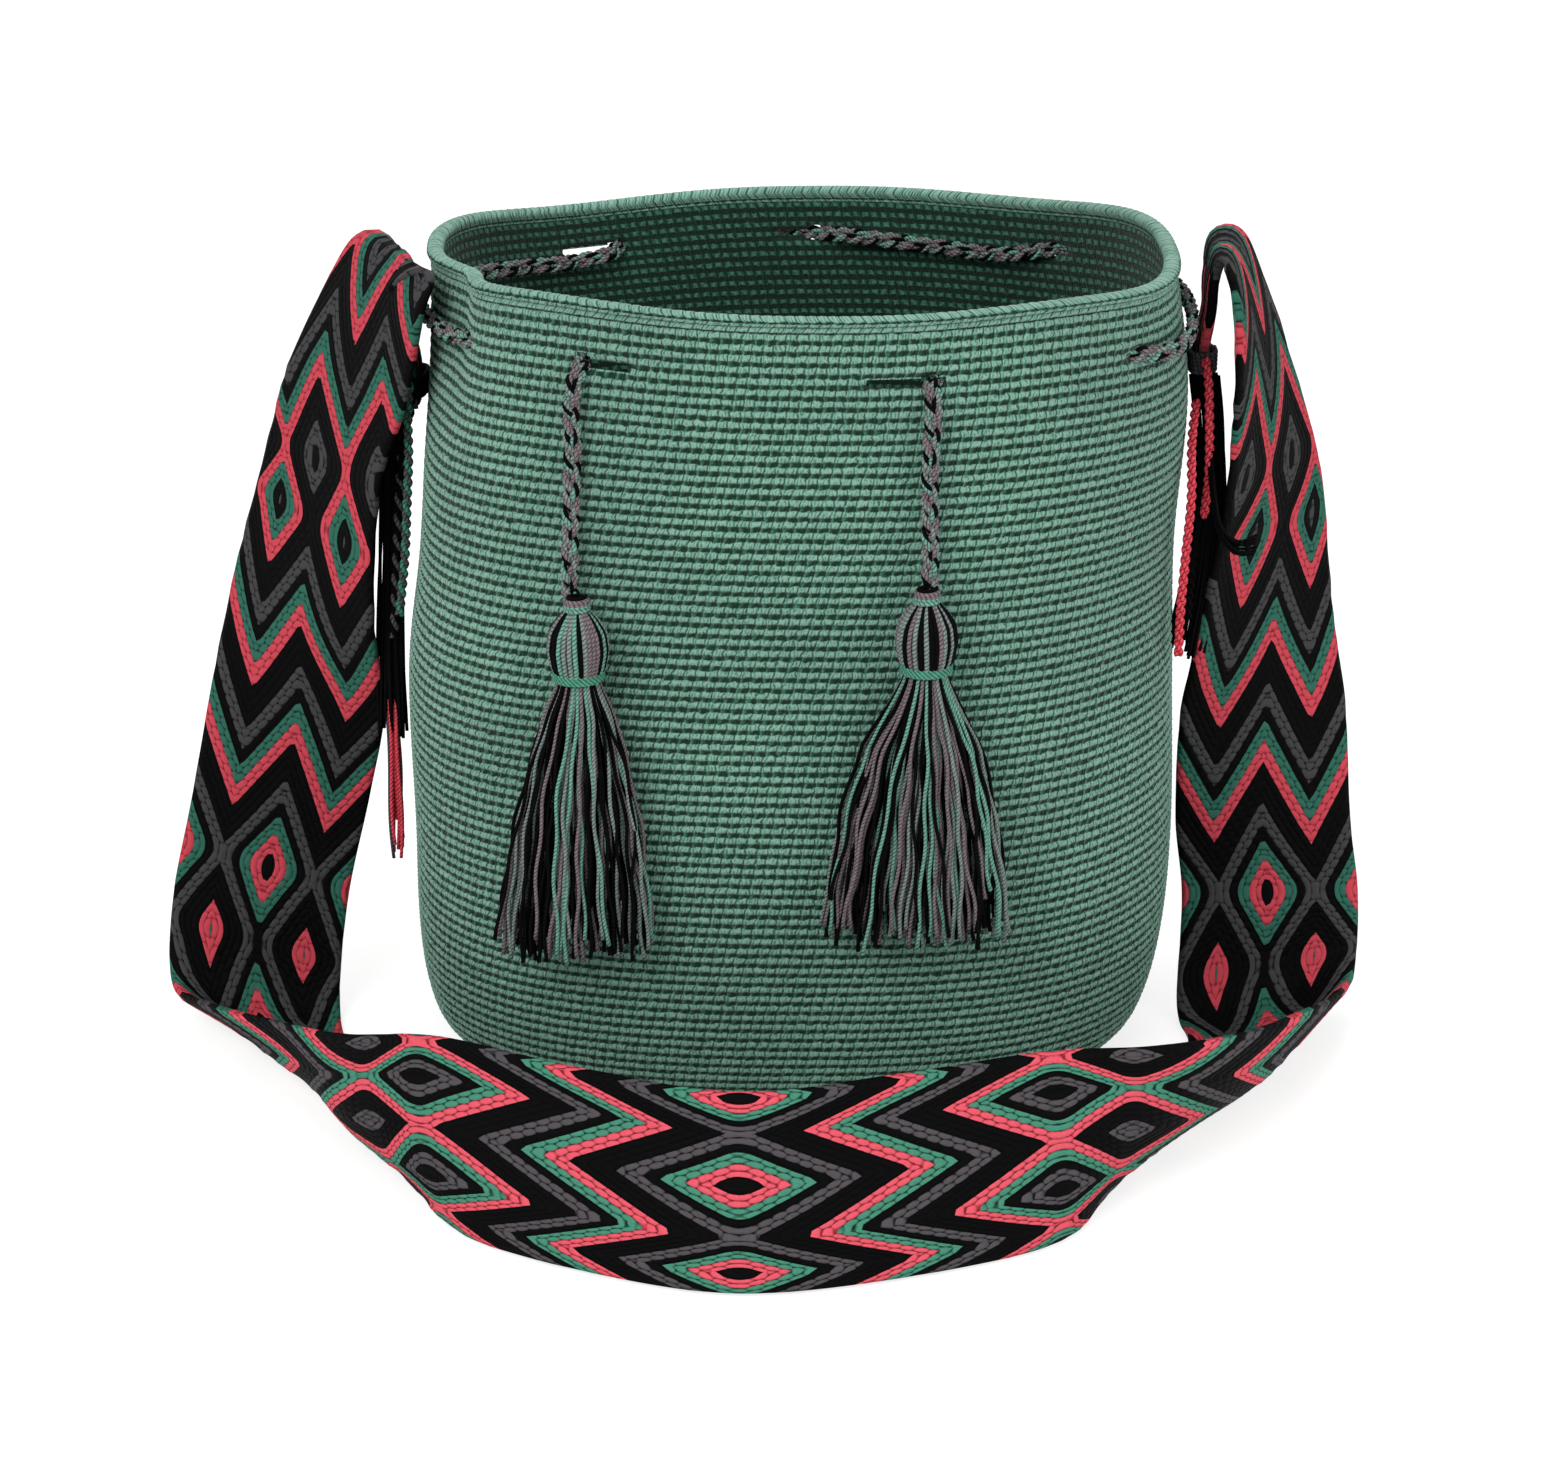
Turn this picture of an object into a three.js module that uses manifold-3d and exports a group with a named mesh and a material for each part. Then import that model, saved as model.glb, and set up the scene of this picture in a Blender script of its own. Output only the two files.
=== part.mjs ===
// A crocheted shoulder bag that stands open, with a laced drawstring, two tassels and a woven strap.
// Millimetres, +Z up. The origin is the middle of the base on the ground, and the front looks along -Y.

import * as THREE from "three";
import Module from "manifold-3d";
import { mergeVertices } from "three/addons/utils/BufferGeometryUtils.js";

const wasm = await Module();
wasm.setup();

// Bag: a soft box of crochet, wider than deep. Each table gives a size at a height.
const BAG_HEIGHT = 309;
const WALL = 3.5;
const SQUARENESS = 2.5;
const HALF_WIDTH = [
  [0, 124], [6, 136], [20, 143], [45, 147], [80, 148], [150, 147], [200, 143], [260, 142], [309, 138],
];
const HALF_DEPTH = [
  [0, 84], [6, 96], [20, 103], [45, 107], [80, 109], [150, 108], [200, 106], [260, 104], [309, 101],
];
const LEAN = [[0, 2], [80, 4], [150, 2.5], [200, 5], [260, 9], [309, 7]];
const SIDES = 32;
const COURSE = 17;
const COURSE_DEPTH = 0.9;
const FIRST_COURSE = 26;
const RIM_START = 299;
const RIM_ROLL = 0.8;
const RIM_WAVE = 2.5;
const STRAP_DENT = { bearing: 200, spread: 14, depth: 12, from: 225 };

// Slits for the drawstring: [bearing of one end, bearing of the other end, height].
const SLIT_HEIGHT = 2.4;
const SLITS = [
  [-119, -111, 288],
  [-84, -75, 286],
  [-38, -32, 286],
  [45, 50, 290],
  [84, 92, 291],
  [118, 128, 290],
  [160, 165, 288],
  [206, 211, 287],
];

// Drawstring: a chosen route round the wall, as [bearing, distance out from the wall's outer face, height].
const CORD = 5.6;
const OUT = CORD / 2 + 0.9;
const IN = -WALL - CORD / 2 - 0.9;
const CORD_HOLE = CORD + 1.6;
const CORD_STEPS = 80;
const CORD_ROUTE = [
  [-117.2, OUT + 4, 212.4], [-118.1, OUT + 2, 235], [-118.5, OUT + 1.4, 262],
  [-118.6, OUT + 1, 280], [-118.6, -WALL / 2, 288],
  [-123, IN, 288], [-138, IN, 287], [-146, IN, 287], [-151, -WALL / 2, 287],
  [-157, OUT, 287], [-168, OUT, 287], [-180, OUT, 287], [-192, OUT, 288], [-197, -WALL / 2, 288],
  [-203, IN, 288], [-218, IN, 287], [-231, IN, 287], [-240, IN, 289], [-243, -WALL / 2, 290],
  [-247, OUT, 290], [-256, OUT, 289], [-264, OUT, 290], [-268, OUT, 291], [-271, -WALL / 2, 291],
  [-275, IN, 291], [-288, IN, 288], [-301, IN, 287], [-308, IN, 289], [-312, -WALL / 2, 290],
  [-318, OUT, 289], [-332, OUT, 287], [-347, OUT, 286], [-360, OUT, 286], [-376, OUT, 286], [-389, OUT, 286],
  [-395, -WALL / 2, 286], [-400, IN, 286], [-412, IN, 285],
  [-426, IN, 286], [-432, IN, 286], [-436.4, -WALL / 2, 286],
  [-437.2, OUT + 1, 278], [-437.8, OUT + 1.4, 260], [-437.4, OUT + 2, 235], [-437, OUT + 4, 217.4],
];

// Tassels: the middle of each, the heights of its parts and the spread of its skirt.
const TASSEL_HEAD = 11;
const TASSEL_NECK = 4.4;
const TASSEL_GAP = 1.2;
const BINDING_HEIGHT = 3.4;
const TASSELS = [
  { side: "left", bearing: -116.3, top: 212, tie: 182, hem: 79, spread: 29, drift: -3 },
  { side: "right", bearing: -76, top: 217, tie: 187, hem: 85, spread: 35, drift: -2 },
];

// Strap: stations along the band, each the outer edge, the inner edge and how far the middle bellies out.
// It hangs from the left of the rim, lies on its inner edge in front of the bag, and rises to the right rim.
const STRAP_THICKNESS = 3.6;
const RIDGE = 0.8;
const STRAP = [
  [[-137.4, 11, 250], [-137.4, -11, 250], 0],
  [[-138, 11, 267], [-138, -11, 267], 0],
  [[-142.5, 12, 285], [-142.5, -12, 285], 0],
  [[-143.5, 16, 299], [-142, -19, 298], 0],
  [[-150, 21, 308.5], [-131, -29, 306.5], 0],
  [[-160, 24, 307], [-125.5, -36, 304.5], 0],
  [[-169, 23, 294], [-130, -38, 291], 0],
  [[-186, 22, 262], [-137.5, -31, 258], 0],
  [[-198, 25, 226], [-149.5, -25, 224], 0],
  [[-214, 19, 171], [-155, -19, 169], 0],
  [[-223, 5, 131], [-154, -5, 129], 0],
  [[-232, 0, 90], [-162, 0, 90], 0],
  [[-242.5, 0, 46], [-173, -2, 44], 0],
  [[-243, -12, 14], [-176, -18, 4], 4],
  [[-222, -45, 20], [-163, -62, 1], 6],
  [[-190, -85, 33], [-143, -106, 1], 9],
  [[-158, -122, 46], [-131, -146, 1], 12],
  [[-120, -150, 59], [-111, -187, 1], 4],
  [[-68, -178, 61], [-66, -213, 1], 0],
  [[-14, -197, 62], [-14, -227, 1], 0],
  [[40, -184, 62], [44, -216, 1], 0],
  [[92, -167, 62], [96, -193, 1], 2],
  [[131, -153, 57], [116, -157, 1], 8],
  [[165, -130, 50], [134, -119, 1], 10],
  [[193, -93, 40], [152, -80, 1], 12],
  [[215, -52, 28], [160, -40, 2], 10],
  [[229, -10, 20], [158, -18, 6], 4],
  [[230, 0, 48], [160, -1, 46], 0],
  [[225, 0, 80], [156, 0, 80], 0],
  [[221, 9, 128], [155, -9, 127], 0],
  [[216, 19, 158], [158, -19, 158], 0],
  [[209, 27, 213], [165, -27, 213], 0],
  [[198, 31, 250], [167, -31, 250], 0],
  [[183, 33, 290], [166, -34, 286], 0],
  [[173, 30, 308], [162.5, -32, 305], 0],
  [[162.5, 20, 309.5], [160.5, -20, 308], 0],
  [[159.5, 12, 298], [159.5, -12, 298], 0],
  [[159.2, 9, 287], [159.2, -9, 287], 0],
  [[157.2, 9, 272], [157.2, -9, 272], 0],
  [[156.8, 9, 256], [156.8, -9, 256], 0],
];

// Weave of the strap: zigzag stripes with two points across the band, repeated along it. Where the stripes
// turn back, they close up into diamonds. REPEAT is one set of five stripes, and SWING is how far a point runs
// ahead. A turn is how far along the band from the middle of the front the stripes change.
const REPEAT = 50;
const SWING = 43;
const STRIPES = ["charcoal", "black", "coral", "green", "black"];
const FRONT_TURN = 112;
const SIDE_TURN = 345;
const TOP_TURN = 505;
const PLAIN_STEP = 11;
const FAN_ROWS = 3;

// Lashings: yarn wound round each gathered strap end, as [middle, half width, half depth] of what it holds.
const LASHINGS = {
  left_strap_lashing: [[-137.5, 0, 258], 12.2, 3.7],
  right_strap_lashing: [[157.3, 0, 267], 10.2, 3.7],
};
const LASHING_SIDES = 12;

// Loose warp ends below each strap end: chosen points as [x, y, z].
const END_CORD = 3.8;
const END_CORD_STEPS = 9;
const END_CORD_SIDES = 6;
const END_CORDS = {
  left_green_end_cord: [
    [-137.5, -16.6, 262], [-138.4, -19, 250], [-138.6, -20, 235], [-140, -20.5, 215],
    [-141.6, -20.5, 195], [-144.6, -20.5, 172],
  ],
  left_black_end_cord: [
    [-138.5, -6, 249], [-142, -9, 238], [-143.5, -12, 220], [-145, -13, 200], [-146.5, -13, 182],
    [-148, -13, 160],
  ],
  right_coral_end_cord: [
    [157, -13.4, 270], [158, -19, 262], [158.5, -22, 250], [159, -23, 238], [159, -24, 226],
    [158, -24, 212],
  ],
  right_black_end_cord: [
    [155.5, -6, 246], [156.5, -13, 238], [156.5, -18, 225], [156, -20, 208], [155, -21, 190],
    [154, -22, 172],
  ],
  right_long_coral_end_cord: [
    [154, -16.8, 255], [151.5, -29, 242], [151, -39, 224], [149.5, -42, 202], [148.5, -43, 182],
    [148.5, -43, 164],
  ],
  right_long_black_end_cord: [
    [158.5, 2, 250], [163, -4, 236], [164, -8, 215], [163, -10, 190], [161, -10, 160],
  ],
};
const FRINGE = { x: -150.5, y: -9, top: 134, hem: 66, half: 3, spread: 6 };

const PAINT = {
  bag: 0x4f8570,
  charcoal: 0x56565a,
  black: 0x0c0d11,
  coral: 0xe5505f,
  green: 0x3f7d68,
  mauve: 0x6a6266,
};

// A size at a height, on a smooth line through a table's points.
function along(table, z) {
  const last = table.length - 1;
  let i = 0;
  while (i < last - 1 && z > table[i + 1][0]) i += 1;
  const slope = (a, b) => (table[b][1] - table[a][1]) / (table[b][0] - table[a][0]);
  const run = table[i + 1][0] - table[i][0];
  const t = THREE.MathUtils.clamp((z - table[i][0]) / run, 0, 1);
  const m0 = slope(Math.max(i - 1, 0), i + 1) * run;
  const m1 = slope(i, Math.min(i + 2, last)) * run;
  const rise = table[i + 1][1] - table[i][1];
  return table[i][1] + t * (m0 + t * (3 * rise - 2 * m0 - m1 + t * (m0 + m1 - 2 * rise)));
}

// How strongly something centred on a bearing is felt at another bearing, from 0 to 1.
function nearness(bearing, centre, spread) {
  const away = THREE.MathUtils.euclideanModulo(bearing - centre + 180, 360) - 180;
  return Math.exp(-((away / spread) ** 2));
}

// A point of the bag's wall: out is the distance outside its outer face.
function wallPoint(bearing, z, out) {
  const turn = THREE.MathUtils.degToRad(bearing);
  const c = Math.cos(turn);
  const s = Math.sin(turn);
  const reach = z / BAG_HEIGHT;
  const pull = STRAP_DENT.depth * nearness(bearing, STRAP_DENT.bearing, STRAP_DENT.spread);
  const dent = pull * THREE.MathUtils.smoothstep(z, STRAP_DENT.from, BAG_HEIGHT);
  const soft = 1.6 * Math.sin(5 * turn + 1) * Math.sin(Math.PI * Math.min(reach, 1));
  const wave = RIM_WAVE * reach ** 4 * (0.6 * Math.sin(2 * turn + 0.4) + 0.6 * Math.sin(5 * turn));
  const grow = out - dent + soft;
  const x = (along(HALF_WIDTH, z) + grow) * Math.sign(c) * Math.abs(c) ** (2 / SQUARENESS);
  const y = (along(HALF_DEPTH, z) + grow) * Math.sign(s) * Math.abs(s) ** (2 / SQUARENESS);
  return new THREE.Vector3(along(LEAN, z) + x, y, z + wave);
}

// A closed skin through rings of points, each end closed by a fan from its middle.
// A ring may have its own colour.
function loft(rings, colours) {
  const corners = [];
  const tints = [];
  const face = (a, b, c, row) => {
    corners.push(...a.toArray(), ...b.toArray(), ...c.toArray());
    if (colours) for (let k = 0; k < 3; k += 1) tints.push(...new THREE.Color(colours[row]).toArray());
  };
  const count = rings[0].length;
  for (let r = 0; r + 1 < rings.length; r += 1) {
    for (let k = 0; k < count; k += 1) {
      const n = (k + 1) % count;
      face(rings[r][k], rings[r][n], rings[r + 1][n], r);
      face(rings[r][k], rings[r + 1][n], rings[r + 1][k], r);
    }
  }
  for (const [ring, flip, row] of [[rings[0], true, 0], [rings.at(-1), false, rings.length - 2]]) {
    const middle = ring.reduce((sum, p) => sum.add(p), new THREE.Vector3()).divideScalar(count);
    for (let k = 0; k < count; k += 1) {
      const n = (k + 1) % count;
      face(middle, ring[flip ? n : k], ring[flip ? k : n], row);
    }
  }
  const geometry = new THREE.BufferGeometry();
  geometry.setAttribute("position", new THREE.Float32BufferAttribute(corners, 3));
  if (colours) geometry.setAttribute("color", new THREE.Float32BufferAttribute(tints, 3));
  geometry.computeVertexNormals();
  return geometry;
}

// A round cord along chosen points.
function cordGeometry(points, diameter, steps, sides = 8) {
  const path = new THREE.CatmullRomCurve3(points, false, "centripetal");
  const section = new THREE.Shape();
  for (let k = 0; k < sides; k += 1) {
    const turn = (2 * Math.PI * k) / sides;
    const corner = [Math.cos(turn) * diameter / 2, Math.sin(turn) * diameter / 2];
    if (k === 0) section.moveTo(...corner);
    else section.lineTo(...corner);
  }
  section.closePath();
  return new THREE.ExtrudeGeometry(section, { steps, extrudePath: path, bevelEnabled: false });
}

function asSolid(geometry) {
  const bare = new THREE.BufferGeometry().setAttribute("position", geometry.getAttribute("position"));
  if (geometry.index) bare.setIndex(geometry.index);
  const merged = mergeVertices(bare, 1e-3);
  return new wasm.Manifold(new wasm.Mesh({
    numProp: 3,
    vertProperties: merged.attributes.position.array,
    triVerts: new Uint32Array(merged.index.array),
  }));
}

function asGeometry(solid) {
  const mesh = solid.getMesh();
  const indexed = new THREE.BufferGeometry();
  indexed.setAttribute("position", new THREE.BufferAttribute(new Float32Array(mesh.vertProperties), 3));
  indexed.setIndex(new THREE.BufferAttribute(new Uint32Array(mesh.triVerts), 1));
  const geometry = indexed.toNonIndexed();
  geometry.computeVertexNormals();
  return geometry;
}

function piece(name, geometry, colour, roughness = 0.9) {
  const striped = geometry.hasAttribute("color");
  const material = new THREE.MeshStandardMaterial({
    color: striped ? 0xffffff : colour,
    vertexColors: striped,
    roughness,
    metalness: 0,
    flatShading: true,
  });
  const mesh = new THREE.Mesh(geometry, material);
  mesh.name = name;
  return mesh;
}

function cordPoints() {
  return CORD_ROUTE.map(([bearing, out, z]) => wallPoint(bearing, z, out));
}

// The bag's skin in rings: flat base, rounded edge, wall in courses, rolled rim, then the inside to its floor.
function bagRings() {
  const ring = (z, out, scale = 1) => Array.from({ length: SIDES }, (_, k) => {
    const p = wallPoint((360 * k) / SIDES, z, out);
    return p.set(p.x * scale, p.y * scale, p.z);
  });
  const rings = [ring(0, 0, 0.5), ring(0, 0), ring(2, -1), ring(6, -0.5), ring(13, 0), ring(20, 0)];
  for (let z = FIRST_COURSE; z < RIM_START - COURSE / 2; z += COURSE) {
    rings.push(ring(z, -COURSE_DEPTH), ring(z + COURSE / 2, 0));
  }
  rings.push(ring(RIM_START, -COURSE_DEPTH), ring(RIM_START + 4, RIM_ROLL), ring(BAG_HEIGHT - 1.5, 0));
  rings.push(ring(BAG_HEIGHT, -WALL / 2), ring(BAG_HEIGHT - 1.5, -WALL));
  rings.push(ring(RIM_START + 4, -WALL - RIM_ROLL));
  for (const z of [RIM_START, 270, 225, 180, 130, 80, 40, 18]) rings.push(ring(z, -WALL));
  rings.push(ring(7, -WALL - 4), ring(WALL, -WALL - 10), ring(WALL, -WALL - 10, 0.5));
  return rings;
}

// A thin block across the wall from one bearing to another.
function slitCutter([from, to, z]) {
  const a = wallPoint(from, z, -WALL / 2);
  const b = wallPoint(to, z, -WALL / 2);
  const block = new THREE.BoxGeometry(a.distanceTo(b), WALL * 4, SLIT_HEIGHT);
  block.rotateZ(Math.atan2(b.y - a.y, b.x - a.x));
  const middle = a.clone().add(b).multiplyScalar(0.5);
  block.translate(middle.x, middle.y, middle.z);
  return asSolid(block);
}

function bagBody() {
  let solid = asSolid(loft(bagRings()));
  for (const slit of SLITS) solid = solid.subtract(slitCutter(slit));
  solid = solid.subtract(asSolid(cordGeometry(cordPoints(), CORD_HOLE, CORD_STEPS)));
  return piece("bag_body", asGeometry(solid), PAINT.bag, 0.95);
}

function drawstring() {
  return piece("drawstring", cordGeometry(cordPoints(), CORD, CORD_STEPS), PAINT.mauve, 0.9);
}

// How far forward the wall comes at a height, within half a width of a place across the front.
function wallFront(x, half, z) {
  let front = 0;
  for (let bearing = -150; bearing <= -30; bearing += 2) {
    const p = wallPoint(bearing, z, 0);
    if (Math.abs(p.x - x) <= half + 3) front = Math.min(front, p.y);
  }
  return front;
}

// Rings of a bundle of yarns that hangs in front of the wall: flutes stand for the yarns.
// A level is [height, half width, how deep its flutes are, how far it drifts sideways].
function bundleRings(x, y, levels, flutes) {
  const count = flutes * 2;
  return levels.map(([z, radius, flute, drift]) => {
    const deep = Math.min(radius, TASSEL_HEAD);
    const clear = wallFront(x + drift, radius, z) - deep - TASSEL_GAP;
    const middle = radius > TASSEL_HEAD ? Math.min(y, clear) : y;
    return Array.from({ length: count }, (_, k) => {
      const turn = (2 * Math.PI * k) / count;
      const share = k % 2 ? 1 - flute : 1;
      const ragged = flute > 0.2 ? (k % 2) * 7 + (k % 3) * 3 : 0;
      return new THREE.Vector3(
        x + drift + share * radius * Math.cos(turn),
        middle + share * deep * Math.sin(turn),
        z + ragged,
      );
    });
  });
}

// A tassel: the neck wrapped round the cord, the bundle with its head and skirt, and the yarn tied round it.
function tassel({ side, bearing, top, tie, hem, spread, drift }) {
  const { x } = wallPoint(bearing, tie, 0);
  const y = wallFront(x, TASSEL_HEAD, tie) - TASSEL_HEAD - TASSEL_GAP;
  const neckBase = tie + 2.15 * TASSEL_HEAD;
  const neck = bundleRings(x, y, [
    [neckBase + 0.3, TASSEL_NECK, 0, 0],
    [neckBase + 2, TASSEL_NECK + 0.8, 0, 0],
    [(neckBase + top) / 2, TASSEL_NECK, 0, 0],
    [top - 1.6, TASSEL_NECK + 0.6, 0, 0],
    [top - 0.4, TASSEL_NECK - 0.6, 0, 0],
  ], 6);
  const bodyLevels = [
    [hem, spread, 0.3, drift],
    [hem + 18, spread * 0.97, 0.16, drift],
    [(hem + tie) / 2, spread * 0.86, 0.14, drift * 0.6],
    [tie - 24, spread * 0.62, 0.12, drift * 0.3],
    [tie - 9, TASSEL_HEAD * 0.98, 0.12, 0],
    [tie - BINDING_HEIGHT / 2, TASSEL_HEAD * 0.74, 0.06, 0],
    [tie + BINDING_HEIGHT / 2, TASSEL_HEAD * 0.74, 0.06, 0],
    [tie + 0.7 * TASSEL_HEAD, TASSEL_HEAD * 0.98, 0.1, 0],
    [tie + 1.3 * TASSEL_HEAD, TASSEL_HEAD, 0.1, 0],
    [tie + 1.9 * TASSEL_HEAD, TASSEL_HEAD * 0.8, 0.08, 0],
    [neckBase, TASSEL_NECK, 0, 0],
  ];
  const binding = new THREE.LatheGeometry([
    new THREE.Vector2(TASSEL_HEAD * 0.78, -BINDING_HEIGHT / 2),
    new THREE.Vector2(TASSEL_HEAD * 0.86, -BINDING_HEIGHT / 2 + 0.4),
    new THREE.Vector2(TASSEL_HEAD * 0.9, 0),
    new THREE.Vector2(TASSEL_HEAD * 0.86, BINDING_HEIGHT / 2 - 0.4),
    new THREE.Vector2(TASSEL_HEAD * 0.78, BINDING_HEIGHT / 2),
    new THREE.Vector2(TASSEL_HEAD * 0.78, -BINDING_HEIGHT / 2),
  ], 14);
  binding.rotateX(Math.PI / 2);
  binding.translate(x, y, tie);
  return [
    piece(`${side}_tassel_neck`, loft(neck), PAINT.charcoal),
    piece(`${side}_tassel`, loft(bundleRings(x, y, bodyLevels, 10)), PAINT.mauve),
    piece(`${side}_tassel_binding`, binding, PAINT.green, 0.85),
  ];
}

// Curves through the stations: the outer edge, the inner edge and the belly, all read at the same place.
function strapCurves() {
  const vector = (p) => new THREE.Vector3(...p);
  const smooth = (points) => new THREE.CatmullRomCurve3(points, false, "catmullrom", 0.5);
  return {
    outer: smooth(STRAP.map(([a]) => vector(a))),
    inner: smooth(STRAP.map(([, b]) => vector(b))),
    belly: smooth(STRAP.map(([, , c]) => vector([c, 0, 0]))),
  };
}

// A table from the distance along the band's middle, counted from the middle of the front, to a place on
// its curves.
function strapRuler(curves) {
  const samples = 1200;
  const marks = [];
  let length = 0;
  let before = null;
  for (let k = 0; k <= samples; k += 1) {
    const t = k / samples;
    const middle = curves.outer.getPoint(t).add(curves.inner.getPoint(t)).multiplyScalar(0.5);
    if (before) length += middle.distanceTo(before);
    before = middle;
    marks.push([length, t]);
  }
  const front = STRAP.findIndex(([a]) => a[0] === -14) / (STRAP.length - 1);
  const zero = marks[Math.round(front * samples)][0];
  return marks.map(([u, t]) => [u - zero, t]);
}

function placeAt(ruler, u) {
  let low = 0;
  let high = ruler.length - 1;
  while (high - low > 1) {
    const middle = (low + high) >> 1;
    if (ruler[middle][0] > u) high = middle;
    else low = middle;
  }
  const share = (u - ruler[low][0]) / (ruler[high][0] - ruler[low][0]);
  return THREE.MathUtils.clamp(THREE.MathUtils.lerp(ruler[low][1], ruler[high][1], share), 0, 1);
}

// A point of the band's middle layer. across runs from 0 at the outer edge to 1 at the inner edge.
function strapPoint(curves, t, across) {
  const a = curves.outer.getPoint(t);
  const b = curves.inner.getPoint(t);
  const run = curves.outer.getTangent(t).add(curves.inner.getTangent(t));
  const side = new THREE.Vector3().crossVectors(b.clone().sub(a), run).normalize();
  const belly = curves.belly.getPoint(t).x * 4 * across * (1 - across);
  return a.lerp(b, across).addScaledVector(side, belly);
}

// The rows of the weave, each a zigzag across the band: how far along its low points are, and how far its high
// points run ahead. Straight rows carry the band round its folds, and rows that fan out between them make the
// diamonds.
function weaveRows(end) {
  const half = [];
  const step = REPEAT / STRIPES.length / 2;
  const fan = (low, from, to, pivot) => {
    for (let k = 1; k <= FAN_ROWS; k += 1) {
      const swing = THREE.MathUtils.lerp(from, to, k / FAN_ROWS);
      half.push({ low: pivot === "low" ? low + k : low + from - swing + k, swing });
    }
  };
  half.push({ low: 0, swing: 0 });
  fan(0, 0, SWING, "low");
  const slanted = (from, to) => {
    for (let low = from; low < to - SWING; low += step) half.push({ low, swing: SWING });
  };
  const straight = (from, to) => {
    for (let low = from; low < to; low += PLAIN_STEP) half.push({ low, swing: 0 });
  };
  slanted(FAN_ROWS + step, FRONT_TURN);
  fan(half.at(-1).low, SWING, 0, "high");
  straight(half.at(-1).low + PLAIN_STEP, SIDE_TURN);
  fan(half.at(-1).low, 0, SWING, "low");
  slanted(half.at(-1).low + step, TOP_TURN);
  fan(half.at(-1).low, SWING, 0, "high");
  straight(half.at(-1).low + PLAIN_STEP, end - 2);
  return half;
}

// One row of the band as a ring, four strips wide, over its reverse and back over its face, thicker on every
// other row.
function strapRing(curves, ruler, sign, row, ridge) {
  const quarters = [0, 0.25, 0.5, 0.75, 1];
  const reverse = [];
  const face = [];
  for (const across of quarters) {
    const ahead = across % 0.5 === 0 ? row.swing : 0;
    const u = sign * (row.low + ahead);
    const t = placeAt(ruler, u);
    const p = strapPoint(curves, t, across);
    const behind = strapPoint(curves, Math.max(t - 0.002, 0), across);
    const front = strapPoint(curves, Math.min(t + 0.002, 1), across);
    const side = curves.inner.getPoint(t).sub(curves.outer.getPoint(t));
    const normal = new THREE.Vector3().crossVectors(side, front.sub(behind)).normalize();
    const half = STRAP_THICKNESS / 2 + (ridge ? RIDGE / 2 : -RIDGE / 2);
    const onGround = (q) => q.setZ(Math.max(q.z, 0));
    reverse.push(onGround(p.clone().addScaledVector(normal, half)));
    face.push(onGround(p.clone().addScaledVector(normal, -half)));
  }
  return [...reverse, ...face.reverse()];
}

function shoulderStrap() {
  const curves = strapCurves();
  const ruler = strapRuler(curves);
  const rings = [];
  const colours = [];
  const ends = [{ sign: -1, end: -ruler[0][0] }, { sign: 1, end: ruler.at(-1)[0] }];
  for (const { sign, end } of ends) {
    const rows = weaveRows(end);
    const made = rows.map((row, k) => strapRing(curves, ruler, sign, row, k % 2 === 1));
    const paint = rows.map((row, k) => PAINT[STRIPES[(k >> 1) % STRIPES.length]]);
    if (sign < 0) {
      rings.push(...made.reverse());
      colours.push(...paint.reverse());
    } else {
      rings.push(...made.slice(1));
      colours.push(...paint.slice(1));
    }
  }
  return piece("shoulder_strap", loft(rings, colours), PAINT.coral, 0.9);
}

// Yarn wound round a gathered strap end: a ring of three turns, open in the middle where the strap passes.
function lashing(name, [[x, y, z], halfWidth, halfDepth]) {
  const profile = [[-5, 0], [-4, 1.5], [-2, 0.9], [0, 1.6], [2, 0.9], [4, 1.5], [5, 0]];
  const outline = (out) => {
    const corner = halfDepth + out;
    const straight = halfWidth - halfDepth;
    const points = [];
    for (let k = 0; k < LASHING_SIDES; k += 1) {
      const turn = (2 * Math.PI * (k + 0.5)) / LASHING_SIDES;
      const shift = Math.sign(Math.sin(turn)) * straight;
      points.push([x + corner * Math.cos(turn), y + shift + corner * Math.sin(turn)]);
    }
    return points;
  };
  const ringAt = ([height, out]) => outline(out).map(([px, py]) => new THREE.Vector3(px, py, z + height));
  const outer = loft(profile.map(ringAt));
  const hole = loft([[-6, -0.01], [6, -0.01]].map(ringAt));
  return piece(name, asGeometry(asSolid(outer).subtract(asSolid(hole))), PAINT.black);
}

function endCord(name, points) {
  const colour = name.includes("coral") ? PAINT.coral : name.includes("green") ? PAINT.green : PAINT.black;
  const path = points.map((p) => new THREE.Vector3(...p));
  return piece(name, cordGeometry(path, END_CORD, END_CORD_STEPS, END_CORD_SIDES), colour);
}

function fringe() {
  const { x, y, top, hem, half, spread } = FRINGE;
  const levels = [
    [hem, spread, 0.3],
    [hem + 20, spread * 0.9, 0.2],
    [(hem + top) / 2, half * 1.4, 0.15],
    [top, half, 0.1],
  ];
  const rings = levels.map(([z, radius, flute]) => Array.from({ length: 12 }, (_, k) => {
    const turn = (Math.PI * k) / 6;
    const r = radius * (k % 2 ? 1 - flute : 1);
    const ragged = flute > 0.25 ? (k % 2) * 6 : 0;
    return new THREE.Vector3(x + half * 0.8 * Math.cos(turn), y + r * Math.sin(turn), z + ragged);
  }));
  return piece("left_fringe", loft(rings), PAINT.coral);
}

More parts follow.
